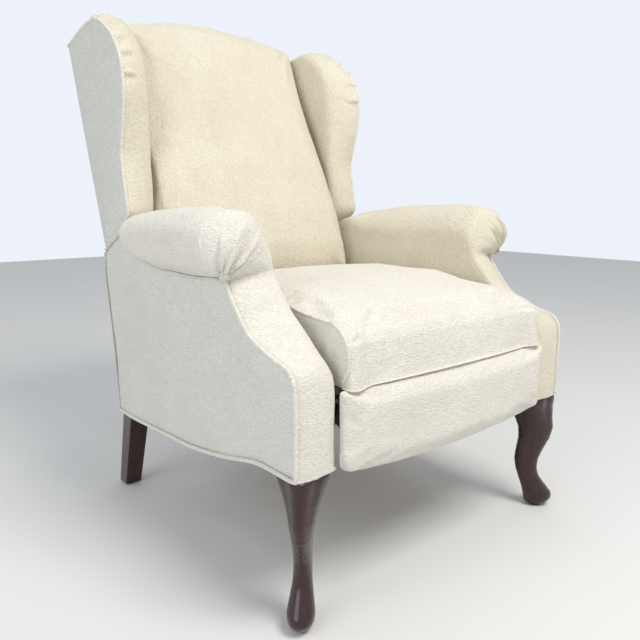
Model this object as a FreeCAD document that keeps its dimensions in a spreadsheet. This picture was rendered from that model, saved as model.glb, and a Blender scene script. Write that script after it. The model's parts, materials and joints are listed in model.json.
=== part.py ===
import FreeCAD, Part
import math
import os
import Sketcher

V = FreeCAD.Vector
doc = FreeCAD.newDocument("wingback_recliner")

# Driving dimensions in millimetres and degrees.
# Lengths called _y are measured back from the front faces of the arms, and _z up from the floor.
DIMENSIONS = {
    # arms and seat, across the chair
    "seat_width": 524,
    "arm_pad": 40,
    "arm_wood": 36,
    "cover": 7,
    "roll_overhang": 43,
    # arms, from the side
    "arm_top_z": 642,
    "roll_height": 107,
    "roll_front_y": 105,
    "arm_behind_pivot": 90,
    "hem_front_z": 250,
    "hem_rear_z": 193,
    "shoulder_z": 387,
    "pleat_y": 192,
    "pleat_z": 533,
    "front_pad": 14,
    "wing_gap": 7,
    # wooden frame
    "rail_height": 40,
    "rail_wood": 22,
    "board_wood": 18,
    "stretcher_y": 262,
    "apron_height": 110,
    # legs
    "front_leg_top": 70,
    "front_leg_y": 30,
    "foot_out": 25,
    "rear_leg_top": 44,
    "rear_leg_foot": 37,
    "rear_leg_y": 624,
    "rear_leg_rake": 60,
    "glide_height": 4,
    # seat
    "cushion_gap": 15,
    "cushion_front_z": 445,
    "cushion_crown_z": 503,
    "cushion_swell": 20,
    "seat_rail_z": 362,
    "seat_rail_front_y": 32,
    "seat_rail_rear_y": 555,
    "deck": 4,
    "spring_wire": 4,
    "spring_count": 4,
    "spring_loops": 10,
    # footrest
    "footrest_gap": 4,
    "footrest_top_z": 373,
    "footrest_side_z": 251,
    "footrest_sag": 23,
    "footrest_pad": 29,
    "footrest_board": 12,
    # linkage plates and pins
    "mech_inset": 40,
    "plate": 3,
    "plate_gap": 0.5,
    "link_width": 22,
    "pin_dia": 8,
    "pin_play": 0.05,
    "open_pivot_play": 1.2,
    "pin_head": 2,
    # footrest linkage, closed
    "lift_pivot_y": 82,
    "lift_pivot_z": 347,
    "long_link": 172,
    "long_link_angle": 43.8,
    "long_link_tail": 17,
    "mid_link": 197,
    "mid_link_angle": 34.8,
    "mid_link_tail": 29,
    "low_pivot_back": 25,
    "low_pivot_drop": 17,
    "bracket_back": 12.5,
    "bracket_drop": 14.4,
    # seat suspension and back hinge
    "back_pivot_y": 600,
    "back_pivot_z": 396,
    "swing_length": 120,
    "swing_spacing": 300,
    # back and wings, along the back (up) and across its thickness
    "rake": 19.6,
    "back_crown": 710,
    "back_shoulder": 676,
    "back_face_low": 84,
    "back_face_high": 50,
    "back_swell": 26,
    "back_frame_front": 22,
    "back_frame_deep": 30,
    "stile_width": 30,
    "stile_foot": 30,
    "stile_top": 640,
    "strap_count": 6,
    "strap_width": 50,
    "strap": 3,
    "strap_margin": 65,
    "lumbar_rail_up": 210,
    "top_rail": 60,
    "wing_inner_gap": 12,
    "wing_thick": 70,
    "wing_top": 663,
    "wing_foot": 169,
    "wing_reach": 184,
    "wing_waist": 100,
    "wing_board_inset": 26,
}

sheet = doc.addObject("Spreadsheet::Sheet", "Sizes")
for row, (alias, number) in enumerate(DIMENSIONS.items(), start=1):
    sheet.set("A%d" % row, alias)
    sheet.set("B%d" % row, str(number))
    sheet.setAlias("B%d" % row, alias)
doc.recompute()


class Size:
    """A length that carries both its number and the sheet expression it comes from."""

    def __init__(self, number, text):
        self.number = float(number)
        self.text = text

    def __float__(self):
        return self.number

    def __add__(self, other):
        other = as_size(other)
        return Size(self.number + other.number, "(%s + %s)" % (self.text, other.text))

    def __sub__(self, other):
        other = as_size(other)
        return Size(self.number - other.number, "(%s - %s)" % (self.text, other.text))

    def __mul__(self, other):
        other = as_size(other)
        return Size(self.number * other.number, "(%s * %s)" % (self.text, other.text))

    def __truediv__(self, other):
        other = as_size(other)
        return Size(self.number / other.number, "(%s / %s)" % (self.text, other.text))

    def __neg__(self):
        return Size(-self.number, "(0 - %s)" % self.text)


def as_size(value):
    if isinstance(value, Size):
        return value
    return Size(value, "%.9g" % value if value >= 0 else "(0 - %.9g)" % -value)


def sin(angle):
    return Size(math.sin(math.radians(float(angle))), "sin(%s * 1 deg)" % angle.text)


def cos(angle):
    return Size(math.cos(math.radians(float(angle))), "cos(%s * 1 deg)" % angle.text)


D = {alias: Size(sheet.get(alias), "Sizes." + alias) for alias in DIMENSIONS}


def named(*aliases):
    return [D[alias] for alias in aliases]


def length_between(p, q):
    a = p[0] - q[0]
    b = p[1] - q[1]
    return Size(math.hypot(float(a), float(b)), "sqrt(%s * %s + %s * %s)" % (a.text, a.text, b.text, b.text))


def angle_of(p, q):
    """Direction from p to q in degrees, up from the rearward direction."""
    return math.degrees(math.atan2(float(q[1]) - float(p[1]), float(q[0]) - float(p[0])))


# Places that several pieces share
plate, plate_gap = named("plate", "plate_gap")
cover, arm_wood, arm_pad = named("cover", "arm_wood", "arm_pad")
inner_arm_x = D["seat_width"] / 2
wood_x = inner_arm_x + arm_pad
cover_x = wood_x + arm_wood
outer_x = cover_x + cover
roll_x = outer_x + D["roll_overhang"]
mech_x = inner_arm_x - D["mech_inset"]
arm_rear_y = D["back_pivot_y"] + D["arm_behind_pivot"]
swing_y = D["back_pivot_y"] - D["swing_spacing"]
back_rear = D["back_frame_front"] + D["back_frame_deep"]

# The origin lies under the middle of the chair: half way from the footrest's face to the back's top
back_top_y = D["back_pivot_y"] + D["back_crown"] * sin(D["rake"]) + (back_rear + cover) * cos(D["rake"])
total_depth = back_top_y + D["footrest_pad"]
front = D["footrest_pad"] - total_depth / 2
back_origin = (front + D["back_pivot_y"], D["back_pivot_z"])


def layer(number):
    """Inner face of a mechanism layer, counted outwards from the seat's side plates."""
    return mech_x + (plate + plate_gap) * number


# Layers of the mechanism, each one plate thick
LOW_LINK, SEAT_PLATE, LONG_LINK, TOP_LINK, SWING, BASE_PLATE = -1, 0, 1, 2, 3, 4
base_plate_outer = layer(BASE_PLATE) + plate

nodes = {}


def keep(label, obj):
    obj.Label = label
    nodes[label] = obj
    return obj


def bind(obj, **sizes):
    for name, value in sizes.items():
        obj.setExpression(name.replace("_", "."), as_size(value).text)


def move(obj, x, y, z):
    values = [as_size(v) for v in (x, y, z)]
    obj.Placement.Base = V(*[float(v) for v in values])
    for axis, value in zip("xyz", values):
        obj.setExpression("Placement.Base." + axis, value.text)


def box(name, x, y, z, length, width, height):
    """A square-cut length of timber or strap, by its lowest corner and sizes."""
    obj = doc.addObject("Part::Box", name)
    bind(obj, Length=length, Width=width, Height=height)
    move(obj, x, y, z)
    return obj


def both_sides(name, build):
    """Keeps a piece built on the +X side as the right one, and its mirror image as the left one."""
    right = keep(name + "_right", build(name + "_right"))
    left = doc.addObject("Part::Mirroring", name + "_left")
    left.Source = right
    left.Normal = V(1, 0, 0)
    keep(name + "_left", left)


def matched_pair(name, build):
    """Keeps a piece built on the +X side and its mirror image as one node of two solids."""
    return mirrored_pair(name, [build(name + "_one")])


def solid(name, shape, placement=None):
    obj = doc.addObject("Part::Feature", name)
    obj.Shape = shape
    if placement is not None:
        obj.Placement = placement
    return obj


def group(name, members):
    obj = doc.addObject("Part::Compound", name)
    obj.Links = members
    return obj


def mirrored_pair(name, members):
    """One group of the given +X solids and their mirror images."""
    all_members = list(members)
    for number, member in enumerate(members):
        other = doc.addObject("Part::Mirroring", "%s_mirror_%d" % (name, number))
        other.Source = member
        other.Normal = V(1, 0, 0)
        all_members.append(other)
    return keep(name, group(name, all_members))


def new_sketch(body, role, name):
    sketch = body.newObject("Sketcher::SketchObject", name)
    plane = next(f for f in body.Origin.OriginFeatures if f.Role == role)
    sketch.AttachmentSupport = (plane, [""])
    sketch.MapMode = "FlatFace"
    return sketch


def place_point(sketch, geometry, vertex, x, y):
    """Ties a sketch point to its two coordinates from the sheet."""
    for kind, value in (("DistanceX", as_size(x)), ("DistanceY", as_size(y))):
        if abs(float(value)) < 1e-9:
            axis = -2 if kind == "DistanceX" else -1
            sketch.addConstraint(Sketcher.Constraint("PointOnObject", geometry, vertex, axis))
            continue
        number = sketch.addConstraint(Sketcher.Constraint(kind, -1, 1, geometry, vertex, float(value)))
        sketch.setExpression("Constraints[%d]" % number, value.text)


def draw_polygon(sketch, points):
    corners = [V(float(x), float(y), 0) for x, y in points]
    count = len(corners)
    for i, corner in enumerate(corners):
        sketch.addGeometry(Part.LineSegment(corner, corners[(i + 1) % count]), False)
    for i in range(count):
        sketch.addConstraint(Sketcher.Constraint("Coincident", i, 2, (i + 1) % count, 1))
    for i, (x, y) in enumerate(points):
        place_point(sketch, i, 1, x, y)


def draw_hole(sketch, x, y, radius):
    centre = V(float(x), float(y), 0)
    number = sketch.addGeometry(Part.Circle(centre, V(0, 0, 1), float(radius)), False)
    tie = sketch.addConstraint(Sketcher.Constraint("Radius", number, float(radius)))
    sketch.setExpression("Constraints[%d]" % tie, as_size(radius).text)
    place_point(sketch, number, 3, x, y)


def side_plate(name, points, x, thickness, holes=()):
    """A plate seen from the side: an outline in Y and Z, padded outwards from x, with its holes."""
    body = doc.addObject("PartDesign::Body", name)
    sketch = new_sketch(body, "YZ_Plane", name + "_outline")
    draw_polygon(sketch, [(front + y, z) for y, z in points])
    for y, z, radius in holes:
        draw_hole(sketch, front + y, z, radius)
    pad = body.newObject("PartDesign::Pad", name + "_pad")
    pad.Profile = sketch
    bind(pad, Length=thickness)
    move(body, x, 0, 0)
    return body


def bar(name, start, end, layer_number, holes):
    """A flat link from start to end in Y and Z, with round ends. Holes are (distance, radius) along it."""
    half = D["link_width"] / 2
    reach = length_between(start, end)
    body = doc.addObject("PartDesign::Body", name)
    sketch = new_sketch(body, "XY_Plane", name + "_outline")
    width, length = float(half), float(reach)
    sketch.addGeometry(Part.LineSegment(V(0, width, 0), V(length, width, 0)), False)
    sketch.addGeometry(Part.LineSegment(V(0, -width, 0), V(length, -width, 0)), False)
    quarter = math.pi / 2
    sketch.addGeometry(Part.ArcOfCircle(Part.Circle(V(0, 0, 0), V(0, 0, 1), width), quarter, 3 * quarter), False)
    sketch.addGeometry(Part.ArcOfCircle(Part.Circle(V(length, 0, 0), V(0, 0, 1), width), -quarter, quarter), False)
    for tie in ((0, 1, 2, 1), (1, 1, 2, 2), (0, 2, 3, 2), (1, 2, 3, 1)):
        sketch.addConstraint(Sketcher.Constraint("Coincident", *tie))
    place_point(sketch, 0, 1, 0, half)
    place_point(sketch, 0, 2, reach, half)
    place_point(sketch, 1, 1, 0, -half)
    place_point(sketch, 1, 2, reach, -half)
    sketch.addConstraint(Sketcher.Constraint("PointOnObject", 2, 3, -2))
    tie = sketch.addConstraint(Sketcher.Constraint("DistanceX", -1, 1, 3, 3, length))
    sketch.setExpression("Constraints[%d]" % tie, reach.text)
    for distance, radius in holes:
        draw_hole(sketch, distance, 0, radius)
    pad = body.newObject("PartDesign::Pad", name + "_pad")
    pad.Profile = sketch
    bind(pad, Length=plate)
    turn = math.radians(angle_of(start, end))
    along = V(0, math.cos(turn), math.sin(turn))
    across = V(0, -math.sin(turn), math.cos(turn))
    body.Placement = FreeCAD.Placement(V(0, 0, 0), FreeCAD.Rotation(along, across, V(1, 0, 0), "XYZ"))
    move(body, layer(layer_number), front + start[0], start[1])
    return body


def across_pin(name, y, z, x, length, radius):
    """A round pin along X from x outwards, at y and z."""
    obj = doc.addObject("Part::Cylinder", name)
    bind(obj, Radius=radius, Height=length)
    obj.Placement = FreeCAD.Placement(V(0, 0, 0), FreeCAD.Rotation(V(0, 1, 0), 90))
    move(obj, x, front + y, z)
    return obj


def rivet(name, pivot, first, last, headed=False):
    """A pin through the layers first to last, with or without a head on its outer end."""
    radius = D["pin_dia"] / 2
    x = layer(first)
    length = layer(last) + plate - x
    shank = across_pin(name, pivot[0], pivot[1], x, length, radius)
    if not headed:
        return shank
    cap = across_pin(name + "_cap", pivot[0], pivot[1], x + length, D["pin_head"], radius * 1.75)
    whole = doc.addObject("Part::Fuse", name + "_headed")
    whole.Base = shank
    whole.Tool = cap
    return whole


def spline(points):
    curve = Part.BSplineCurve()
    curve.interpolate([V(*p) for p in points])
    return curve.toShape()


def line(p, q):
    return Part.LineSegment(V(*p), V(*q)).toShape()


def yz_wire(x, segments):
    """A closed outline at x. Each segment is a list of (y, z): two points are a line, more a curve."""
    edges = []
    for segment in segments:
        points = [(x, y, z) for y, z in segment]
        edges.append(line(*points) if len(points) == 2 else spline(points))
    return Part.Wire(edges)


def yz_slab(x, thickness, segments):
    return Part.Face(yz_wire(x, segments)).extrude(V(thickness, 0, 0))


def at_front(points):
    return [(float(front) + y, z) for y, z in points]


def rounded(shape, radius, choose):
    """The shape with the edges that choose() picks rounded to the radius."""
    edges = [edge for edge in shape.Edges if choose(edge)]
    return shape.makeFillet(radius, edges) if edges else shape


# Pivots of the mechanism, as (y, z)
back_pivot = (D["back_pivot_y"], D["back_pivot_z"])
back_pin = (back_pivot[0], back_pivot[1] - D["swing_length"])
swing_pivot = (swing_y, back_pivot[1])
swing_pin = (swing_y, back_pin[1])
long_angle, mid_angle = named("long_link_angle", "mid_link_angle")
lift_pivot = (D["lift_pivot_y"], D["lift_pivot_z"])
knee = (lift_pivot[0] + D["long_link"] * cos(long_angle), lift_pivot[1] - D["long_link"] * sin(long_angle))
long_tail_end = (
    knee[0] + D["long_link_tail"] * cos(long_angle),
    knee[1] - D["long_link_tail"] * sin(long_angle),
)
bracket_pin = (knee[0] - D["mid_link"] * cos(mid_angle), knee[1] + D["mid_link"] * sin(mid_angle))
mid_tail_end = (
    knee[0] + D["mid_link_tail"] * cos(mid_angle),
    knee[1] - D["mid_link_tail"] * sin(mid_angle),
)
low_pivot = (lift_pivot[0] + D["low_pivot_back"], lift_pivot[1] - D["low_pivot_drop"])
bracket_top_pin = (bracket_pin[0] + D["bracket_back"], bracket_pin[1] - D["bracket_drop"])
pin_radius = D["pin_dia"] / 2
running_hole = pin_radius + D["pin_play"]
open_hole = pin_radius + D["open_pivot_play"]


# Legs

LEG_LEVELS = 14
SECTION_SIDES = 16
rear_leg_x = cover_x - D["rear_leg_top"] / 2


def corner_pull(angle, square):
    """Draws the flats of a section in, so that it reads as a square with its corners on the diagonals."""
    return 1.0 - 0.125 * square * (1 - math.cos(4 * angle))


def leg_section(height, outward, radial, tangential, square):
    """One level of a cabriole leg: a rounded square turned towards the corner of the chair."""
    corner_x = float(outer_x) - float(D["front_leg_top"]) / 2
    centre = V(corner_x, float(front) + float(D["front_leg_y"]), height)
    out = V(1, -1, 0).normalize()
    side = V(1, 1, 0).normalize()
    points = []
    for step in range(SECTION_SIDES):
        angle = math.pi * 2 / SECTION_SIDES * step
        pull = corner_pull(angle, square)
        reach = outward + radial / 2 * math.cos(angle) * pull
        points.append(centre + out * reach + side * (tangential / 2 * math.sin(angle) * pull))
    return Part.makePolygon(points + points[:1])


def smooth_levels(levels, count):
    """The given number of levels, on smooth curves through every value of the given ones."""
    curves = []
    for values in zip(*levels):
        curve = Part.BSplineCurve()
        curve.interpolate(
            Points=[V(step, value, 0) for step, value in enumerate(values)],
            Parameters=[float(step) for step in range(len(levels))])
        curves.append(curve)
    last = len(levels) - 1
    return [[curve.value(last * number / (count - 1)).y for curve in curves] for number in range(count)]


def cabriole_leg(name):
    """The front leg: a square top, a full knee, a slim ankle and a pad foot turned to the corner."""
    top_z = float(D["hem_front_z"])
    across = float(D["front_leg_top"]) * 2 ** 0.5
    foot = float(D["foot_out"])
    levels = [
        (top_z, 0, across, across * 0.9, 1.0),
        (top_z * 0.84, foot * 0.15, across * 0.96, across * 0.68, 0.8),
        (top_z * 0.68, foot * 0.54, across * 0.84, across * 0.47, 0.4),
        (top_z * 0.52, foot * 0.14, across * 0.68, across * 0.37, 0.1),
        (top_z * 0.38, -foot * 0.12, across * 0.56, across * 0.35, 0.0),
        (top_z * 0.25, foot * 0.2, across * 0.52, across * 0.38, 0.0),
        (top_z * 0.13, foot * 0.9, across * 0.62, across * 0.46, 0.0),
        (top_z * 0.06, foot, across * 0.6, across * 0.44, 0.0),
        (0, foot * 0.75, across * 0.38, across * 0.3, 0.0),
    ]
    shape = Part.makeLoft([leg_section(*level) for level in smooth_levels(levels, LEG_LEVELS)], True, True)
    below = Part.makeBox(2000, 2000, 200, V(-1000, -1000, float(D["glide_height"]) - 200))
    return solid(name, shape.cut(below))


def rear_leg(name):
    """A square leg that tapers and leans back, by its top and foot squares."""
    top_z = float(D["hem_rear_z"]) + 10
    x = float(rear_leg_x)
    y = float(front) + float(D["rear_leg_y"])

    def square(half, centre_y, z):
        turns = ((-1, -1), (1, -1), (1, 1), (-1, 1))
        return [V(x + half * across, centre_y + half * along, z) for across, along in turns]

    top = square(float(D["rear_leg_top"]) / 2, y, top_z)
    foot = square(float(D["rear_leg_foot"]) / 2, y + float(D["rear_leg_rake"]), float(D["glide_height"]))
    rings = [top, foot] + [[top[i - 1], top[i], foot[i], foot[i - 1]] for i in range(4)]
    shell = Part.makeShell([Part.Face(Part.makePolygon(ring + ring[:1])) for ring in rings])
    shape = Part.makeSolid(shell)
    upright = [edge for edge in shape.Edges if abs(edge.Vertexes[0].Z - edge.Vertexes[-1].Z) > top_z / 2]
    return solid(name, shape.makeFillet(2.5, upright))


both_sides("front_leg", cabriole_leg)
both_sides("rear_leg", rear_leg)

GLIDE_RADIUS = 11
foot_shift = float(D["foot_out"]) * 0.8 / 2 ** 0.5
glides = []
for place, x, y in (
    ("front", float(outer_x - D["front_leg_top"] / 2) + foot_shift, float(front + D["front_leg_y"]) - foot_shift),
    ("rear", float(rear_leg_x), float(front + D["rear_leg_y"] + D["rear_leg_rake"])),
):
    glide = doc.addObject("Part::Cylinder", "glide_" + place)
    glide.Radius = GLIDE_RADIUS
    bind(glide, Height=D["glide_height"])
    glide.Placement.Base = V(x, y, 0)
    glides.append(glide)
mirrored_pair("leg_glides", glides)


# Wooden frame of the arms and base

rail_height, rail_wood, board_wood = named("rail_height", "rail_wood", "board_wood")
pad_front = D["front_pad"]
roll_z = D["arm_top_z"] - D["roll_height"] / 2
roll_low_z = D["arm_top_z"] - D["roll_height"]
slot_z = roll_low_z + 15
frame_top_z = slot_z - 5
post_foot = pad_front + 2
rear_rail_y = D["back_pivot_y"] + 14
rear_post_front = rear_rail_y - 24

front_post_outline = [
    (post_foot, D["hem_front_z"]),
    (post_foot, D["shoulder_z"] - 4),
    (post_foot + 22, D["shoulder_z"] + 10),
    (D["pleat_y"] * 0.55, D["shoulder_z"] + (D["pleat_z"] - D["shoulder_z"]) * 0.22),
    (D["pleat_y"] * 0.82, D["pleat_z"] - 72),
    (D["pleat_y"] + 14, D["pleat_z"] - 20),
    (D["pleat_y"] + 14, frame_top_z),
    (D["pleat_y"] + 58, frame_top_z),
    (D["pleat_y"] + 58, frame_top_z - rail_height),
    (D["pleat_y"], D["pleat_z"] - 95),
    (post_foot + 70, D["shoulder_z"] - 20),
    (post_foot + 70, D["hem_front_z"]),
]
rear_post_outline = [
    (rear_post_front, D["hem_rear_z"] + 10),
    (arm_rear_y - 58, D["hem_rear_z"] + 10),
    (arm_rear_y - 20, D["pleat_z"] - 35),
    (arm_rear_y - 32, D["pleat_z"] - 5),
    (rear_post_front, frame_top_z),
]
matched_pair("front_posts", lambda name: side_plate(name, front_post_outline, wood_x, arm_wood))
matched_pair("rear_posts", lambda name: side_plate(name, rear_post_outline, wood_x, arm_wood))

arm_rail_y = D["pleat_y"] + 58
matched_pair("arm_rails", lambda name: box(
    name, wood_x, front + arm_rail_y, frame_top_z - rail_height,
    arm_wood, rear_post_front - arm_rail_y, rail_height))
matched_pair("arm_boards", lambda name: box(
    name, wood_x, front + D["pleat_y"] - 27, frame_top_z,
    arm_wood, rear_post_front - D["pleat_y"] + 27, board_wood))
bottom_rail_y = post_foot + 70
matched_pair("bottom_rails", lambda name: box(
    name, wood_x, front + bottom_rail_y, D["hem_front_z"],
    arm_wood, rear_post_front - bottom_rail_y, rail_height))

stretcher_z = D["hem_front_z"] - 34
keep("front_stretcher", box(
    "front_stretcher", -wood_x, front + D["stretcher_y"], stretcher_z,
    wood_x * 2, rail_wood, rail_height - 4))
keep("rear_rail", box(
    "rear_rail", -wood_x, front + rear_rail_y, D["hem_rear_z"] + 12,
    wood_x * 2, rail_wood, rail_height + 20))
apron_z = D["hem_rear_z"] + 10
apron_top_z = apron_z + D["apron_height"]
keep("rear_apron", box(
    "rear_apron", -wood_x, front + rear_rail_y + rail_wood, apron_z,
    wood_x * 2, cover, D["apron_height"]))

mech_rail_y = swing_y - 30
mech_rail_z = stretcher_z + rail_height - 4
matched_pair("mechanism_rails", lambda name: box(
    name, base_plate_outer, front + mech_rail_y, mech_rail_z,
    wood_x - base_plate_outer, rear_rail_y - mech_rail_y, rail_height - 8))


# Upholstery of the arms

sizes = {alias: float(value) for alias, value in D.items()}
arm_depth = float(arm_rear_y)
hem_front, hem_rear = sizes["hem_front_z"], sizes["hem_rear_z"]
shoulder_z, pleat_y, pleat_z = sizes["shoulder_z"], sizes["pleat_y"], sizes["pleat_z"]
slot_top = float(slot_z)
ROLL_RINGS = 6
ROLL_SIDES = 32


def arm_front_curve(rise):
    """The sloping front of an arm from its shoulder to the roll. The inner edge rises higher."""
    climb = pleat_z - shoulder_z
    return [
        (0, shoulder_z),
        (pleat_y * 0.04, shoulder_z + climb * (0.15 + rise * 0.02)),
        (pleat_y * 0.12, shoulder_z + climb * (0.22 + rise * 0.08)),
        (pleat_y * 0.34, shoulder_z + climb * (0.3 + rise * 0.22)),
        (pleat_y * 0.62, shoulder_z + climb * (0.46 + rise * 0.34)),
        (pleat_y * 0.77, shoulder_z + climb * (0.65 + rise * 0.32)),
        (pleat_y * 0.9, shoulder_z + climb * (0.86 + rise * 0.3)),
        (pleat_y, pleat_z + rise * 45),
    ]


def pushed_in(points, depth):
    """The curve moved back and down by the pad's thickness, along its own slope."""
    moved = []
    for number, (y, z) in enumerate(points):
        before = points[max(number - 1, 0)]
        after = points[min(number + 1, len(points) - 1)]
        run, climb = after[0] - before[0], after[1] - before[1]
        length = math.hypot(run, climb)
        moved.append((y + depth * climb / length, z - depth * run / length))
    moved[0] = (points[0][0] + depth, points[0][1])
    return moved


def wing_line(y):
    """Height of the arm's sloping top behind the roll, a gap below the wing's foot."""
    foot_front, foot_rear = wing_foot_corners()
    share = (y - foot_front[0]) / (foot_rear[0] - foot_front[0])
    return foot_front[1] + share * (foot_rear[1] - foot_front[1]) - sizes["wing_gap"]


def back_point(n, v):
    """A point of the back, n behind its hinge plane and v up it, as (y, z) from the front faces."""
    tilt = math.radians(sizes["rake"])
    y = sizes["back_pivot_y"] + v * math.sin(tilt) + n * math.cos(tilt)
    z = sizes["back_pivot_z"] + v * math.cos(tilt) - n * math.sin(tilt)
    return (y, z)


def wing_foot_corners():
    front_corner = back_point(-sizes["wing_waist"] + 16, sizes["wing_foot"] + 40)
    rear_corner = back_point(float(back_rear + cover), sizes["wing_foot"])
    return front_corner, rear_corner


arm_break_y = wing_foot_corners()[0][0] - 8


def wing_clearance():
    """The space behind the rolls that the wings' feet sweep, down to the sloping line below them."""
    start, end, top, reach = arm_break_y - 30, arm_depth + 60, 900, 260
    outline = [(start, wing_line(start)), (end, wing_line(end)), (end, top), (start, top)]
    corners = [V(float(inner_arm_x) - 60, y, z) for y, z in at_front(outline)]
    return Part.Face(Part.makePolygon(corners + corners[:1])).extrude(V(reach, 0, 0))


def outside_arm(name):
    hem = [(pleat_y * 0.6, hem_front), (pleat_y * 1.25, hem_front - 29), (pleat_y * 2.1, hem_rear + 10),
           (arm_depth - 43, hem_rear)]
    front_curve = arm_front_curve(0)
    outline = [
        at_front([(0, hem_front), hem[0]]),
        at_front(hem),
        at_front([hem[-1], (arm_depth, slot_top)]),
        at_front([(arm_depth, slot_top), (pleat_y, slot_top)]),
        at_front([(pleat_y, slot_top), front_curve[-1]]),
        at_front(front_curve[::-1]),
        at_front([(0, shoulder_z), (0, hem_front)]),
    ]
    return solid(name, yz_slab(float(cover_x), sizes["cover"], outline).cut(wing_clearance()))


def inside_arm(name):
    """The pad on the inner side of an arm, its front edge tucked behind the sloping front pad."""
    low = float(apron_top_z) + 2
    rear = arm_depth - 45
    foot_y = float(bottom_rail_y)
    start = (sizes["front_pad"] + 1.5, hem_front)
    full_width = float(outer_x - inner_arm_x)
    wires = []
    for x in (float(inner_arm_x), float(wood_x)):
        rise = 1 - (x - float(inner_arm_x)) / full_width
        curve = [p for p in pushed_in(arm_front_curve(rise), sizes["front_pad"] + 1.5) if p[1] < slot_top - 14]
        top = (pleat_y + 14, slot_top)
        wires.append(yz_wire(x, [
            at_front([start, (foot_y, start[1])]),
            at_front([(foot_y, start[1]), (foot_y, low)]),
            at_front([(foot_y, low), (rear, low)]),
            at_front([(rear, low), (rear, slot_top)]),
            at_front([(rear, slot_top), top]),
            at_front([top, curve[-1]]),
            at_front(curve[::-1]),
            at_front([curve[0], start]),
        ]))
    return solid(name, Part.makeLoft(wires, True, True))


def arm_front_strip():
    """The pad over the arm's front: a loft from its outer edge to its higher inner edge."""
    wires = []
    for x in (float(inner_arm_x), float(cover_x)):
        rise = (float(outer_x) - x) / float(outer_x - inner_arm_x)
        face = arm_front_curve(rise)
        rear = pushed_in(face, sizes["front_pad"])
        outline = [(0, hem_front)] + face + rear[::-1] + [(sizes["front_pad"], hem_front)]
        corners = [V(x, y, z) for y, z in at_front(outline + outline[:1])]
        wires.append(Part.makePolygon(corners))
    return Part.makeLoft(wires, True, True)


def roll_blank():
    """The whole arm roll, with its rounded front end, before its underside is cut to sit on the arm."""
    half_wide = (float(roll_x) - float(inner_arm_x)) / 2
    half_high = sizes["roll_height"] / 2
    centre_x = float(inner_arm_x) + half_wide
    start = float(front) + sizes["roll_front_y"] + half_wide
    length = arm_break_y + 60 - sizes["roll_front_y"] - half_wide

    def ring(y, share):
        points = []
        for step in range(ROLL_SIDES):
            angle = math.pi * 2 / ROLL_SIDES * step
            across, up = half_wide * share * math.cos(angle), half_high * share * math.sin(angle)
            points.append(V(centre_x + across, y, float(roll_z) + up))
        return Part.makePolygon(points + points[:1])

    rings = [ring(start - half_wide * math.cos(turn), max(math.sin(turn), 0.12))
             for turn in (math.pi / 2 * step / (ROLL_RINGS - 1) for step in range(ROLL_RINGS))]
    return Part.makeLoft(rings + [ring(start + length, 1)], True, True)


blank = roll_blank()


def arm_roll(name):
    under = Part.makeBox(float(cover_x) + sizes["cover"] + 1 - float(inner_arm_x) + 60, 900, 200)
    under.translate(V(float(inner_arm_x) - 60, float(front), slot_top - 200))
    board = Part.makeBox(sizes["arm_wood"], float(rear_post_front - D["pleat_y"]) + 27, 200)
    board.translate(V(float(wood_x), float(front) + pleat_y - 27, slot_top + sizes["board_wood"] - 5 - 200))
    return solid(name, blank.cut(under).cut(board).cut(wing_clearance()))


def arm_front(name):
    return solid(name, arm_front_strip().cut(blank))


both_sides("outside_arm", outside_arm)
both_sides("inside_arm", inside_arm)
both_sides("arm_front", arm_front)
both_sides("arm_roll", arm_roll)


# Mechanism plates on the frame

base_outline = [
    (swing_pivot[0] - 30, mech_rail_z),
    (back_pivot[0] + 12, mech_rail_z),
    (back_pivot[0] + 14, back_pivot[1] + 12),
    (back_pivot[0] - 14, back_pivot[1] + 12),
    (back_pivot[0] - 26, mech_rail_z + rail_height),
    (swing_pivot[0] + 26, mech_rail_z + rail_height),
    (swing_pivot[0] + 14, swing_pivot[1] + 12),
    (swing_pivot[0] - 14, swing_pivot[1] + 12),
]
matched_pair("base_plates", lambda name: side_plate(
    name, base_outline, layer(BASE_PLATE), plate,
    [(*swing_pivot, pin_radius), (*back_pivot, pin_radius)]))
matched_pair("swing_links", lambda name: bar(
    name, swing_pivot, swing_pin, SWING,
    [(as_size(0), running_hole), (D["swing_length"], running_hole)]))
mirrored_pair("frame_pins", [
    rivet("frame_pin_front", swing_pivot, SWING, BASE_PLATE, headed=True),
    rivet("frame_pin_rear", back_pivot, SWING, BASE_PLATE, headed=True),
])


# Seat

seat_rail_top = D["seat_rail_z"] + rail_height
seat_rail_x = mech_x - rail_wood
seat_rail_length = D["seat_rail_rear_y"] - D["seat_rail_front_y"]
matched_pair("seat_side_rails", lambda name: box(
    name, seat_rail_x, front + D["seat_rail_front_y"], D["seat_rail_z"],
    rail_wood, seat_rail_length, rail_height))
keep("seat_front_rail", box(
    "seat_front_rail", -seat_rail_x, front + D["seat_rail_front_y"], D["seat_rail_z"],
    seat_rail_x * 2, rail_wood, rail_height))
keep("seat_rear_rail", box(
    "seat_rear_rail", -seat_rail_x, front + D["seat_rail_rear_y"] - rail_wood, D["seat_rail_z"],
    seat_rail_x * 2, rail_wood, rail_height))


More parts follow.
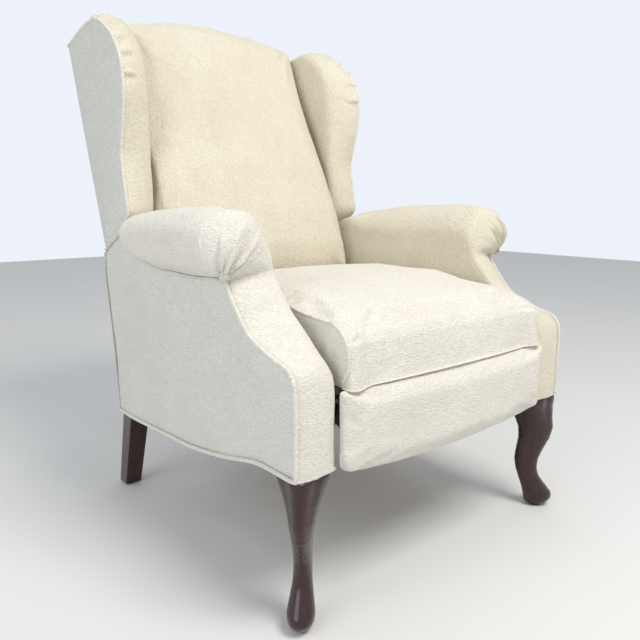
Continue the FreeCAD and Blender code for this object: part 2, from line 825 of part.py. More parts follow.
def zigzag_spring(name, x):
    """A flat zigzag spring from the front rail to the rear rail: straight runs joined by bevelled turns."""
    wire = sizes["spring_wire"]
    loops = int(sizes["spring_loops"])
    half_run = 18.0
    start_y = float(front + D["seat_rail_front_y"]) + 4
    end_y = float(front + D["seat_rail_rear_y"]) - 4
    pitch = (end_y - start_y) / (loops + 1)
    z = float(seat_rail_top) + wire / 2
    lead = pitch / 2
    edges = [line((x, start_y, z), (x, start_y + lead / 2, z))]
    y = start_y + lead / 2
    side = 1
    edges.append(line((x, y, z), (x + side * half_run, y, z)))
    for loop in range(loops):
        near, far = x + side * half_run, x - side * half_run
        tip = near + side * pitch / 2
        turn = [(near, y, z), (tip, y + pitch * 0.3, z), (tip, y + pitch * 0.7, z), (near, y + pitch, z)]
        edges += [line(p, q) for p, q in zip(turn, turn[1:])]
        y += pitch
        last = loop == loops - 1
        edges.append(line((near, y, z), (x if last else far, y, z)))
        side = -side
    edges.append(line((x, y, z), (x, end_y, z)))
    half = wire / 2
    corners = [V(x + dx, start_y, z + dz) for dx, dz in ((-half, -half), (half, -half), (half, half), (-half, half))]
    profile = Part.makePolygon(corners + corners[:1])
    shell = Part.Wire(edges).makePipeShell([profile], True, False, 1)
    return solid(name, shell)


spring_count = int(sizes["spring_count"])
spring_pitch = float(seat_rail_x) * 2 / (spring_count + 1)
springs = [
    zigzag_spring("seat_spring_%d" % number, -float(seat_rail_x) + spring_pitch * (number + 1))
    for number in range(spring_count)
]
keep("seat_springs", group("seat_springs", springs))
deck_z = seat_rail_top + D["spring_wire"]
keep("seat_deck", box(
    "seat_deck", -seat_rail_x, front + D["seat_rail_front_y"] + 2, deck_z,
    seat_rail_x * 2, seat_rail_length - 4, D["deck"]))


# Where a pad's cross sections stand, as shares of its half width, and how much of its swell each has
PAD_STATIONS = [(-1, 0), (-0.93, 0.45), (-0.8, 0.72), (-0.45, 0.93), (0, 1), (0.45, 0.93), (0.8, 0.72), (0.93, 0.45),
                (1, 0)]


def crowned_pad(half_wide, section):
    """A pad with a swelling face: straight strips between the outlines that section(swell, x) gives across it."""
    wires = []
    for share, swell in PAD_STATIONS:
        x = half_wide * share
        corners = [V(x, *point) for point in section(swell, share)]
        wires.append(Part.makePolygon(corners + corners[:1]))
    return Part.makeLoft(wires, True, True)


def seat_cushion():
    half_wide = float(inner_arm_x) - sizes["cushion_gap"]
    nose, lip = sizes["cushion_front_z"], sizes["footrest_top_z"] + 4
    under = float(deck_z) + sizes["deck"]
    step_y = sizes["seat_rail_front_y"] - 2
    rear = sizes["back_pivot_y"] - 68

    def section(swell, _):
        rise = sizes["cushion_swell"] * swell
        side = sizes["cushion_crown_z"] - sizes["cushion_swell"] * 0.55
        face = 4 - sizes["cushion_swell"] * swell
        return at_front([
            (face + 10, lip), (face, lip + 14), (face, nose - 8 + rise * 0.3), (face + 14, nose + 14 + rise * 0.4),
            (face + 42, nose + 30 + rise * 0.5), (110, side - 12 + rise * 0.8), (210, side + rise),
            (380, side + rise), (rear - 50, side - 6 + rise * 0.8), (rear - 10, side - 28 + rise * 0.4),
            (rear, side - 52), (rear, under), (step_y, under), (step_y, lip),
        ])

    return solid("seat_cushion", crowned_pad(half_wide, section))


keep("seat_cushion", seat_cushion())

seat_plate_outline = [
    (lift_pivot[0] - 22, seat_rail_top - 4),
    (lift_pivot[0] - 22, D["seat_rail_z"] + 4),
    (lift_pivot[0] - 12, lift_pivot[1] - 3),
    (low_pivot[0] - 3, low_pivot[1] - 12),
    (low_pivot[0] + 11, low_pivot[1] - 11),
    (low_pivot[0] + 30, D["seat_rail_z"] - 10),
    (swing_pin[0] - 24, D["seat_rail_z"] - 10),
    (swing_pin[0] - 14, swing_pin[1] - 13),
    (swing_pin[0] + 14, swing_pin[1] - 13),
    (swing_pin[0] + 24, D["seat_rail_z"] - 10),
    (back_pin[0] - 62, D["seat_rail_z"] - 10),
    (back_pin[0] - 14, back_pin[1] - 13),
    (back_pin[0] + 14, back_pin[1] - 13),
    (back_pin[0] + 14, back_pin[1] + 13),
    (D["seat_rail_rear_y"] - 4, seat_rail_top - 4),
]
matched_pair("seat_plates", lambda name: side_plate(
    name, seat_plate_outline, layer(SEAT_PLATE), plate,
    [(*pivot, pin_radius) for pivot in (lift_pivot, low_pivot, swing_pin, back_pin)]))
mirrored_pair("seat_pins", [
    rivet("seat_pin_lift", lift_pivot, SEAT_PLATE, LONG_LINK),
    rivet("seat_pin_low", low_pivot, LOW_LINK, SEAT_PLATE),
    rivet("seat_pin_swing", swing_pin, SEAT_PLATE, SWING),
    rivet("seat_pin_back", back_pin, SEAT_PLATE, SWING),
])


# Footrest linkage

matched_pair("long_links", lambda name: bar(
    name, lift_pivot, long_tail_end, LONG_LINK,
    [(as_size(0), running_hole), (D["long_link"], pin_radius),
     (D["long_link"] + D["long_link_tail"], pin_radius)]))
mirrored_pair("long_link_pins", [
    rivet("knee_pin", knee, SEAT_PLATE, LONG_LINK),
    rivet("long_tail_pin", long_tail_end, LONG_LINK, TOP_LINK),
])
matched_pair("mid_links", lambda name: bar(
    name, bracket_pin, mid_tail_end, SEAT_PLATE,
    [(as_size(0), pin_radius), (D["mid_link"], running_hole),
     (D["mid_link"] + D["mid_link_tail"], pin_radius)]))
mirrored_pair("mid_link_pins", [
    rivet("bracket_pin", bracket_pin, SEAT_PLATE, LONG_LINK),
    rivet("mid_tail_pin", mid_tail_end, LOW_LINK, SEAT_PLATE),
])
low_reach = length_between(low_pivot, mid_tail_end)
matched_pair("low_links", lambda name: bar(
    name, low_pivot, mid_tail_end, LOW_LINK, [(as_size(0), running_hole), (low_reach, open_hole)]))
top_reach = length_between(long_tail_end, bracket_top_pin)
matched_pair("top_links", lambda name: bar(
    name, long_tail_end, bracket_top_pin, TOP_LINK, [(as_size(0), running_hole), (top_reach, open_hole)]))
tube_place = ((low_pivot[0] + mid_tail_end[0]) / 2, (low_pivot[1] + mid_tail_end[1]) / 2)
keep("cross_tube", across_pin(
    "cross_tube", *tube_place, -layer(LOW_LINK), layer(LOW_LINK) * 2, D["link_width"] * 0.4))


# Footrest

board_rear = D["footrest_board"]
footrest_x = inner_arm_x - D["footrest_gap"]
bracket_outline = [
    (board_rear, bracket_pin[1] + 9),
    (board_rear, bracket_top_pin[1] - 40),
    (board_rear + 8, bracket_top_pin[1] - 40),
    (bracket_top_pin[0] + 10, bracket_top_pin[1] - 9),
    (bracket_top_pin[0] + 9, bracket_top_pin[1] + 9),
    (bracket_pin[0] + 5, bracket_pin[1] + 10),
]
matched_pair("footrest_brackets", lambda name: side_plate(
    name, bracket_outline, layer(LONG_LINK), plate,
    [(*bracket_pin, running_hole), (*bracket_top_pin, pin_radius)]))
mirrored_pair("footrest_pins", [rivet("bracket_top_pin", bracket_top_pin, LONG_LINK, TOP_LINK)])
board_low = D["footrest_side_z"] + 8
keep("footrest_board", box(
    "footrest_board", -(footrest_x - 18), front, board_low,
    (footrest_x - 18) * 2, board_rear, D["footrest_top_z"] - 10 - board_low))


def footrest_pad():
    """The padded front of the footrest: straight at its top, with rounded corners and a low middle."""
    half = float(footrest_x)
    top, low = sizes["footrest_top_z"], sizes["footrest_side_z"] - 6
    y = float(front) - sizes["footrest_pad"]
    edges = [
        line((-half, y, top), (-half, y, low)),
        Part.Arc(V(-half, y, low), V(0, y, low - sizes["footrest_sag"] + 6), V(half, y, low)).toShape(),
        line((half, y, low), (half, y, top)),
        line((half, y, top), (-half, y, top)),
    ]
    shape = Part.Face(Part.Wire(edges)).extrude(V(0, sizes["footrest_pad"], 0))
    shape = rounded(shape, 22, lambda e: len(e.Vertexes) == 2 and max(v.Z for v in e.Vertexes) < low + 1
                    and abs(e.Vertexes[0].Y - e.Vertexes[1].Y) > 1)
    shape = rounded(shape, 8, lambda e: max(v.Y for v in e.Vertexes) < y + 0.01)
    return solid("footrest_pad", shape)


keep("footrest_pad", footrest_pad())


# Back: everything below is built upright at the hinge, then leaned back with the rake

lean = FreeCAD.Placement(
    V(0, float(back_origin[0]), float(back_origin[1])),
    FreeCAD.Rotation(V(1, 0, 0), -sizes["rake"]),
)


def leaned_box(name, x, n, v, length, width, height):
    """A length of timber or webbing on the back, n behind the hinge plane and v up the back."""
    obj = doc.addObject("Part::Box", name)
    bind(obj, Length=length, Width=width, Height=height)
    obj.Placement.Rotation = FreeCAD.Rotation(V(1, 0, 0), -sizes["rake"])
    obj.setExpression("Placement.Rotation.Angle", (D["rake"] * -1).text)
    n, v = as_size(n), as_size(v)
    move(obj, x,
         back_origin[0] + v * sin(D["rake"]) + n * cos(D["rake"]),
         back_origin[1] + v * cos(D["rake"]) - n * sin(D["rake"]))
    return obj


stile_outer = layer(SWING)
stile_x = stile_outer - D["stile_width"]
frame_front, frame_deep = named("back_frame_front", "back_frame_deep")
stile_foot, stile_top = named("stile_foot", "stile_top")
both_sides("back_stile", lambda name: leaned_box(
    name, stile_x, frame_front, stile_foot, D["stile_width"], frame_deep, stile_top - stile_foot))
keep("back_bottom_rail", leaned_box(
    "back_bottom_rail", -stile_x, frame_front, stile_foot + 10, stile_x * 2, frame_deep, rail_height + 15))
keep("back_lumbar_rail", leaned_box(
    "back_lumbar_rail", -stile_x, frame_front + 10, stile_foot + D["lumbar_rail_up"],
    stile_x * 2, frame_deep - 10, rail_height))


def back_top_rail():
    """The curved top rail of the back."""
    half = float(stile_x)
    low, high = sizes["stile_top"] - sizes["top_rail"], sizes["stile_top"]
    crown = high + (sizes["back_crown"] - sizes["back_shoulder"]) * 0.8
    n = sizes["back_frame_front"]
    edges = [
        line((-half, n, high), (-half, n, low)),
        line((-half, n, low), (half, n, low)),
        line((half, n, low), (half, n, high)),
        Part.Arc(V(half, n, high), V(0, n, crown), V(-half, n, high)).toShape(),
    ]
    shape = Part.Face(Part.Wire(edges)).extrude(V(0, sizes["back_frame_deep"], 0))
    return solid("back_top_rail", shape, lean)


keep("back_top_rail", back_top_rail())

strap_count = int(sizes["strap_count"])
strap_span = (stile_top - stile_foot - D["strap_margin"] * 2) / strap_count
straps = [
    leaned_box("back_strap_%d" % number, -(stile_x + 12), frame_front - D["strap"],
               stile_foot + D["strap_margin"] + 10 + strap_span * number, (stile_x + 12) * 2, D["strap"], D["strap_width"])
    for number in range(strap_count)
]
keep("back_straps", group("back_straps", straps))


def back_pad():
    """The inside back, crowned across its face and arched along its top."""
    half = float(inner_arm_x) - sizes["wing_inner_gap"] - 2
    rear = float(frame_front - D["strap"])
    low, high = sizes["back_face_low"], sizes["back_face_high"]
    foot = 20

    def section(swell, share):
        top = sizes["back_crown"] - (sizes["back_crown"] - sizes["back_shoulder"]) * share ** 2
        rise = sizes["back_swell"] * swell - sizes["back_swell"] * 0.6
        return [
            (rear, foot), (rear, top), (-high + 28, top), (-high + 6 - rise * 0.3, top - 5),
            (-high - 4 - rise * 0.7, top - 26), (-high - 10 - rise, top * 0.85), (-high - 22 - rise, top * 0.65),
            (-low - 12 - rise, top * 0.45), (-low - 20 - rise * 0.8, top * 0.3), (-low - 18 - rise * 0.5, top * 0.18),
            (-low, foot + 30), (-low + 25, foot),
        ]

    profile = crowned_pad(half, section)
    bracket_room = Part.makeBox(100, 200, sizes["wing_foot"] + 215, V(float(stile_outer) - 1, -16, -200))
    shape = profile.cut(bracket_room)
    bracket_room.translate(V(-2 * float(stile_outer) + 2 - 100, 0, 0))
    return solid("back_pad", shape.cut(bracket_room), lean)


keep("back_pad", back_pad())


def outside_back():
    """The outer panel of the back: full width behind the wings, and narrower between the arms."""
    wing_outer = float(inner_arm_x) - sizes["wing_inner_gap"] + sizes["wing_thick"]
    narrow = float(inner_arm_x) - sizes["wing_inner_gap"]
    n, foot, step = float(back_rear), -60.0, -25.0
    tail = float(stile_outer) - 1
    waist = sizes["wing_foot"]
    shoulder, crown = sizes["wing_top"], sizes["back_crown"]
    edges = [
        line((-wing_outer, n, shoulder), (-wing_outer, n, waist)),
        line((-wing_outer, n, waist), (-narrow, n, waist)),
        line((-narrow, n, waist), (-narrow, n, step)),
        line((-narrow, n, step), (-tail, n, step)),
        line((-tail, n, step), (-tail, n, foot)),
        line((-tail, n, foot), (tail, n, foot)),
        line((tail, n, foot), (tail, n, step)),
        line((tail, n, step), (narrow, n, step)),
        line((narrow, n, step), (narrow, n, waist)),
        line((narrow, n, waist), (wing_outer, n, waist)),
        line((wing_outer, n, waist), (wing_outer, n, shoulder)),
        Part.Arc(V(wing_outer, n, shoulder), V(0, n, crown), V(-wing_outer, n, shoulder)).toShape(),
    ]
    shape = Part.Face(Part.Wire(edges)).extrude(V(0, sizes["cover"], 0))
    return solid("outside_back", shape, lean)


keep("outside_back", outside_back())


# Wings

def wing_outline(reach, waist, inset, rear, x):
    """A wing seen from the side, as a wire at x. The inset shrinks it evenly for the board inside."""
    top = sizes["wing_top"] - inset
    foot = sizes["wing_foot"] + inset
    rise = top - foot
    reach, waist = reach - inset, waist - inset
    front_edge = [
        (-reach * 0.2, foot + rise * 0.967),
        (-reach * 0.51, foot + rise * 0.937),
        (-reach * 0.8, foot + rise * 0.846),
        (-reach * 0.98, foot + rise * 0.714),
        (-reach * 0.97, foot + rise * 0.585),
        (-waist * 1.16, foot + rise * 0.369),
        (-waist * 0.88, foot + rise * 0.21),
        (-waist + 16, foot + 40),
    ]
    points = [(rear, top)] + front_edge
    edges = [
        line((x, rear, foot + 5), (x, rear, top)),
        spline([(x, n, v) for n, v in points]),
        line((x, *front_edge[-1]), (x, rear * 0.1 - waist * 0.1, foot + 20)),
        line((x, rear * 0.1 - waist * 0.1, foot + 20), (x, rear, foot + 5)),
    ]
    return Part.Wire(edges)


wing_inner = float(inner_arm_x) - sizes["wing_inner_gap"]
wing_outer = wing_inner + sizes["wing_thick"]
wing_board_x = wing_outer - sizes["board_wood"] - 12
board_inset = sizes["wing_board_inset"]
back_rear_n = float(back_rear)


def wing_insert(x, thickness, grow):
    wire = wing_outline(sizes["wing_reach"], sizes["wing_waist"], board_inset - grow, back_rear_n, x)
    return Part.Face(wire).extrude(V(thickness, 0, 0))


def wing_pad(name):
    """The padded wing: a loft from its outer edge to its shorter inner edge, hollowed for the board."""
    reach, waist = sizes["wing_reach"], sizes["wing_waist"]
    outer = wing_outline(reach, waist, 0, back_rear_n, wing_outer)
    inner = wing_outline(reach * 0.75, waist * 0.82, 0, back_rear_n, wing_inner)
    shape = Part.makeLoft([inner, outer], True, True)
    frame_room = Part.makeBox(wing_board_x - wing_inner + 1, sizes["back_frame_deep"] + 50, 1200)
    frame_room.translate(V(wing_inner - 1, float(frame_front), -200))
    shape = shape.cut(frame_room).cut(wing_insert(wing_board_x, wing_outer - wing_board_x + 5, 0))
    return solid(name, shape, lean)


def wing_board(name):
    return solid(name, wing_insert(wing_board_x, sizes["board_wood"], 0), lean)


def wing_cover(name):
    x = wing_board_x + sizes["board_wood"]
    return solid(name, wing_insert(x, wing_outer - x, 0), lean)


matched_pair("wing_boards", wing_board)
both_sides("wing_pad", wing_pad)
both_sides("wing_cover", wing_cover)
mirrored_pair("wing_blocks", [
    leaned_box("wing_block_low", stile_outer, frame_front, D["wing_foot"] + 60,
               inner_arm_x - D["wing_inner_gap"] + D["wing_thick"] - board_wood - 12 - stile_outer,
               frame_deep, rail_height),
    leaned_box("wing_block_high", stile_outer, frame_front, D["wing_top"] - 110,
               inner_arm_x - D["wing_inner_gap"] + D["wing_thick"] - board_wood - 12 - stile_outer,
               frame_deep, rail_height),
])


# Back brackets: a lever down to the seat, and an arm up along the stile

def back_bracket(name):
    stile_point = (
        D["back_pivot_y"] + D["wing_foot"] * sin(D["rake"]) + (frame_front + 15) * cos(D["rake"]),
        D["back_pivot_z"] + D["wing_foot"] * cos(D["rake"]) - (frame_front + 15) * sin(D["rake"]),
    )
    lever = bar(name + "_lever", back_pin, back_pivot, SWING,
                [(as_size(0), running_hole), (D["swing_length"], running_hole)])
    upper = bar(name + "_arm", back_pivot, stile_point, SWING, [(as_size(0), running_hole)])
    whole = doc.addObject("Part::Fuse", name)
    whole.Base = lever
    whole.Tool = upper
    return whole


matched_pair("back_brackets", back_bracket)

doc.recompute()

# Checks before anything is written
for obj in doc.Objects:
    if "Invalid" in obj.State or "Error" in obj.State:
        raise RuntimeError("%s failed: %s" % (obj.Name, obj.State))
for label, obj in nodes.items():
    if obj.Shape.isNull() or not obj.Shape.isValid() or not obj.Shape.Solids:
        raise RuntimeError("%s has no valid solid" % label)

os.makedirs("parts", exist_ok=True)
for label, obj in nodes.items():
    obj.Shape.exportStep("parts/%s.step" % label)

whole = Part.makeCompound([obj.Shape for obj in nodes.values()])
bounds = whole.BoundBox
print("%d nodes, X %.1f..%.1f Y %.1f..%.1f Z %.1f..%.1f" % (
    len(nodes), bounds.XMin, bounds.XMax, bounds.YMin, bounds.YMax, bounds.ZMin, bounds.ZMax))
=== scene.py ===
import json
import math

import bpy
import numpy as np
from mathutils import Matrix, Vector
from mathutils.bvhtree import BVHTree
from mathutils.noise import noise


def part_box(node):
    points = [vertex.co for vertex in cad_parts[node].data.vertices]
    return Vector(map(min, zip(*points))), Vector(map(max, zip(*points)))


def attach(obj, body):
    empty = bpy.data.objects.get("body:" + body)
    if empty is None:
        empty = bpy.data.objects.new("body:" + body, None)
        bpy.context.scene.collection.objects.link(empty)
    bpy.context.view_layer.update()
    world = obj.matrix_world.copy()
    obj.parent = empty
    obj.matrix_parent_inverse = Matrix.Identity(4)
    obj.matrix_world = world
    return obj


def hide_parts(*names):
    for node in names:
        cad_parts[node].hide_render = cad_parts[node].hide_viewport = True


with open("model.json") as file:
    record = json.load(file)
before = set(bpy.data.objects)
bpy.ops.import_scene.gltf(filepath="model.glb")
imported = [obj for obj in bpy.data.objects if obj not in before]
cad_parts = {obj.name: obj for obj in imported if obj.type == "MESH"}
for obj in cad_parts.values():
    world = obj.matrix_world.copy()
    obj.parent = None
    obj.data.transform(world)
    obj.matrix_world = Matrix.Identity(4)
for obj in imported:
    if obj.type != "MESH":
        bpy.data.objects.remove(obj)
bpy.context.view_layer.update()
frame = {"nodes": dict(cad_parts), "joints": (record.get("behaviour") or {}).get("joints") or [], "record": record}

# Points of the arms, seat and wings are written as (out, back, up) in metres:
# out from the middle plane, back from the front faces of the arms and up from the floor.
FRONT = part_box("arm_front_left")[0].y
LEFT, RIGHT = -1, 1
SIDES = (("left", LEFT), ("right", RIGHT))
ARM_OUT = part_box("outside_arm_right")[1].x
ARM_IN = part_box("inside_arm_right")[0].x


# Curves and meshes

def refine(rows, factor):
    """More rows between the given ones, on smooth curves through all of them.
    The factor may differ from gap to gap."""
    p = np.asarray(rows, float)
    q = np.concatenate([2 * p[:1] - p[1:2], p, 2 * p[-1:] - p[-2:-1]])
    made = []
    for i, steps in enumerate(np.broadcast_to(factor, len(p) - 1)):
        a, b, c, d = q[i:i + 4]
        for step in range(steps):
            t = step / steps
            curve = (2 * b + (c - a) * t + (2 * a - 5 * b + 4 * c - d) * t * t
                     + (3 * b - a - 3 * c + d) * t ** 3)
            made.append(curve / 2)
    made.append(p[-1])
    return np.array(made)


def evenly(points, count):
    """Points spaced evenly along a smooth curve through the given ones."""
    dense = refine(points, 16)
    run = np.concatenate([[0], np.cumsum(np.linalg.norm(np.diff(dense, axis=0), axis=1))])
    want = np.linspace(0, run[-1], count)
    return np.column_stack([np.interp(want, run, dense[:, k]) for k in range(dense.shape[1])])


def to_frame(points, side):
    """Points written as (out, back, up), in the row frame on the given side."""
    p = np.asarray(points, float).reshape(-1, 3)
    return np.column_stack([p[:, 0] * side, p[:, 1] + FRONT, p[:, 2]])


def upright(out, edge):
    """The (back, up) points of an edge, all placed as far out as given."""
    return [(out, y, z) for y, z in edge]


def shade_smooth(mesh):
    mesh.polygons.foreach_set("use_smooth", [True] * len(mesh.polygons))


def mesh_piece(name, verts, faces):
    mesh = bpy.data.meshes.new(name)
    mesh.from_pydata([tuple(v) for v in verts], [], faces)
    mesh.validate()
    shade_smooth(mesh)
    piece = bpy.data.objects.new(name, mesh)
    bpy.context.scene.collection.objects.link(piece)
    return piece


def cad_copy(name, node):
    """A copy of a CAD node as it was packed, without its material."""
    piece = bpy.data.objects.new(name, frame["nodes"][node].data.copy())
    bpy.context.scene.collection.objects.link(piece)
    piece.data.materials.clear()
    return piece


def grid_faces(rows, cols, flip=False):
    faces = []
    for r in range(rows - 1):
        for c in range(cols - 1):
            a = r * cols + c
            face = (a, a + 1, a + cols + 1, a + cols)
            faces.append(face[::-1] if flip else face)
    return faces


def thicken(piece, thickness):
    """Gives a sheet its thickness, behind the face that is seen."""
    shell = piece.modifiers.new("thickness", "SOLIDIFY")
    shell.thickness, shell.offset = thickness, -1
    return piece


def grid_piece(name, grid, side):
    """A sheet through a grid of points, on the given side of the chair."""
    rows, cols = grid.shape[:2]
    return mesh_piece(name, to_frame(grid, side), grid_faces(rows, cols, flip=side == LEFT))


def patch(bottom, top, first, last):
    """A grid filled in from its four edges. Bottom and top run from the first edge to the last."""
    u = np.linspace(0, 1, len(bottom))[None, :, None]
    v = np.linspace(0, 1, len(first))[:, None, None]
    across = (1 - v) * bottom[None] + v * top[None]
    along = (1 - u) * first[:, None] + u * last[:, None]
    corners = ((1 - v) * ((1 - u) * bottom[0] + u * bottom[-1]) + v * ((1 - u) * top[0] + u * top[-1]))
    return across + along - corners


def dome(rows, cols, height):
    """How far each point of a padded panel stands proud: all of it inside, nothing at the edges."""
    u = np.linspace(0, 1, cols)[None, :]
    v = np.linspace(0, 1, rows)[:, None]
    return height * (1 - (2 * u - 1) ** 6) * (1 - (2 * v - 1) ** 6)


def tube(name, path, radius, sides=10):
    """A round cord of fabric along points in the row frame. The radius may differ by point."""
    p = np.asarray(path, float)
    count = len(p)
    radius = np.broadcast_to(radius, count)
    ahead = np.gradient(p, axis=0)
    ahead /= np.linalg.norm(ahead, axis=1)[:, None]
    up = np.cross(ahead[0], (0.3, 0.5, 0.81))
    verts = []
    for i in range(count):
        up = up - ahead[i] * (up @ ahead[i])
        up /= np.linalg.norm(up)
        across = np.cross(ahead[i], up)
        for k in range(sides):
            turn = 2 * math.pi * k / sides
            verts.append(p[i] + radius[i] * (math.cos(turn) * up + math.sin(turn) * across))
    faces = []
    for i in range(count - 1):
        for k in range(sides):
            a, b = i * sides + k, i * sides + (k + 1) % sides
            faces.append((a, b, b + sides, a + sides))
    faces.append(tuple(range(sides))[::-1])
    faces.append(tuple((count - 1) * sides + k for k in range(sides)))
    return mesh_piece(name, verts, faces)


def read_vectors(items, key):
    values = np.zeros(len(items) * 3, np.float32)
    items.foreach_get(key, values)
    return values.reshape(-1, 3).astype(float)


def vertices(piece):
    return read_vectors(piece.data.vertices, "co")


def normals(piece):
    return read_vectors(piece.data.vertex_normals, "vector")


def set_vertices(piece, co):
    piece.data.vertices.foreach_set("co", co.astype(np.float32).ravel())
    piece.data.update()


def nearest_on(path, co):
    """For each point: the nearest place on the path, how far along that is as a share, and the
    path's direction there."""
    p = np.asarray(path, float)
    lengths = np.linalg.norm(np.diff(p, axis=0), axis=1)
    total, before = lengths.sum(), 0.0
    best, along = np.full(len(co), 1e9), np.zeros(len(co))
    where, ahead = np.zeros_like(co), np.zeros_like(co)
    for a, b, length in zip(p[:-1], p[1:], lengths):
        t = np.clip((co - a) @ (b - a) / length ** 2, 0, 1)
        foot = a + t[:, None] * (b - a)
        away = np.linalg.norm(co - foot, axis=1)
        near = away < best
        best[near], where[near] = away[near], foot[near]
        along[near] = (before + t[near] * length) / total
        ahead[near] = (b - a) / length
        before += length
    return where, along, ahead


def fold(piece, path, depth, width, lip=0.0, fade=(5, 5)):
    """Presses a fold into a piece along a path. The lip is how much the cloth stands up on the
    left of the path, and fade says how fast the fold comes in at each end."""
    co, out = vertices(piece), normals(piece)
    where, along, ahead = nearest_on(path, co)
    offset = co - where
    side = np.einsum("ij,ij->i", offset, np.cross(out, ahead)) / width
    away = np.linalg.norm(offset, axis=1) / width
    strength = np.clip(np.minimum(along * fade[0], (1 - along) * fade[1]), 0, 1)
    pressed = np.exp(-away ** 2) - lip * np.exp(-((side - 2.2) / 1.5) ** 2) * (away < 8)
    set_vertices(piece, co - out * (depth * strength * pressed)[:, None])


def ripple(piece, height, size, seed):
    """Gives cloth over padding its slight unevenness."""
    co, out = vertices(piece), normals(piece)
    shift = Vector((seed * 7.3, seed * 3.1, seed * 5.7))
    lift = np.array([noise(Vector(c) / size + shift) for c in co])
    set_vertices(piece, co + out * (height * lift)[:, None])


def on_surface(points, piece, lift):
    """The nearest points on a piece, lifted off it by the given distance."""
    depsgraph = bpy.context.evaluated_depsgraph_get()
    tree = BVHTree.FromObject(piece, depsgraph)
    made = []
    for point in points:
        where, normal, _, _ = tree.find_nearest(Vector(point))
        made.append(where + normal * lift)
    return np.array(made)


def apply_modifiers(piece):
    depsgraph = bpy.context.evaluated_depsgraph_get()
    mesh = bpy.data.meshes.new_from_object(piece.evaluated_get(depsgraph))
    piece.modifiers.clear()
    piece.data = mesh


# Materials

def node_maker(material):
    tree = material.node_tree

    def make(kind, inputs=None, **settings):
        node = tree.nodes.new("ShaderNode" + kind)
        for key, value in settings.items():
            setattr(node, key, value)
        for key, value in (inputs or {}).items():
            if isinstance(value, bpy.types.NodeSocket):
                tree.links.new(value, node.inputs[key])
            else:
                node.inputs[key].default_value = value
        return node

    return make


def new_material(name, **shader_values):
    material = bpy.data.materials.new(name)
    material.use_nodes = True
    shader = material.node_tree.nodes["Principled BSDF"]
    for key, value in shader_values.items():
        shader.inputs[key.replace("_", " ")].default_value = value
    return material, shader, node_maker(material)


def ramp(make, factor, low, high, dark, light):
    node = make("ValToRGB", {"Fac": factor})
    first, last = node.color_ramp.elements
    first.position, last.position = low, high
    first.color, last.color = (*dark, 1), (*light, 1)
    return node.outputs["Color"]


def link_inputs(material, shader, **sockets):
    for key, socket in sockets.items():
        material.node_tree.links.new(socket, shader.inputs[key.replace("_", " ")])


def woven_fabric(name, dark, light, stretch):
    """Crinkled, pebbled upholstery cloth. The stretch says which way its small waves run."""
    material, shader, make = new_material(name, Roughness=0.95, Sheen_Weight=0.2, Sheen_Roughness=0.5)
    shader.inputs["Specular IOR Level"].default_value = 0.12
    where = make("TexCoord").outputs["Object"]
    drift = make("TexNoise", {"Vector": where, "Scale": 14.0, "Detail": 2.0}).outputs["Color"]
    shifted = make("VectorMath", {0: drift, 1: where, "Scale": 0.02}, operation="SCALE").outputs["Vector"]
    moved = make("VectorMath", {0: where, 1: shifted}, operation="ADD").outputs["Vector"]
    waves = make("Mapping", {"Vector": moved, "Scale": stretch}).outputs["Vector"]
    crinkle = make("TexNoise", {"Vector": waves, "Scale": 1.0, "Detail": 2.0, "Roughness": 0.55,
                                "Distortion": 0.6})
    pebble = make("TexVoronoi", {"Vector": waves, "Scale": 2.3, "Randomness": 1.0}, feature="SMOOTH_F1")
    patchy = make("TexNoise", {"Vector": where, "Scale": 7.0, "Detail": 3.0})
    thread = make("TexNoise", {"Vector": where, "Scale": 1100.0, "Detail": 1.0})
    relief = make("Math", {0: pebble.outputs["Distance"], 1: -0.35, 2: crinkle.outputs["Fac"]},
                  operation="MULTIPLY_ADD")
    fine = make("Math", {0: thread.outputs["Fac"], 1: 0.12, 2: relief.outputs["Value"]},
                operation="MULTIPLY_ADD")
    base = ramp(make, relief.outputs["Value"], 0.18, 0.52, dark, light)
    worn = ramp(make, patchy.outputs["Fac"], 0.3, 0.7, (0.955, 0.95, 0.935), (1, 1, 1))
    colour = make("Mix", {"Factor": 1.0, "A": base, "B": worn}, data_type="RGBA", blend_type="MULTIPLY")
    bump = make("Bump", {"Strength": 0.85, "Distance": 0.0034, "Height": fine.outputs["Value"]})
    link_inputs(material, shader, Base_Color=colour.outputs["Result"], Normal=bump.outputs["Normal"])
    return material


def lacquered_wood(name, dark, light):
    material, shader, make = new_material(name, Coat_Weight=0.6, Coat_Roughness=0.05)
    shader.inputs["Specular IOR Level"].default_value = 0.3
    where = make("TexCoord").outputs["Object"]
    along = make("Mapping", {"Vector": where, "Scale": (60.0, 60.0, 5.0)}).outputs["Vector"]
    grain = make("TexNoise", {"Vector": along, "Scale": 1.5, "Detail": 6.0, "Roughness": 0.65})
    pores = make("TexNoise", {"Vector": along, "Scale": 9.0, "Detail": 2.0})
    colour = ramp(make, grain.outputs["Fac"], 0.3, 0.72, dark, light)
    rough = make("MapRange", {"Value": pores.outputs["Fac"], "To Min": 0.22, "To Max": 0.38})
    bump = make("Bump", {"Strength": 0.12, "Distance": 0.0006, "Height": pores.outputs["Fac"]})
    link_inputs(material, shader, Base_Color=colour, Roughness=rough.outputs["Result"],
                Normal=bump.outputs["Normal"])
    return material


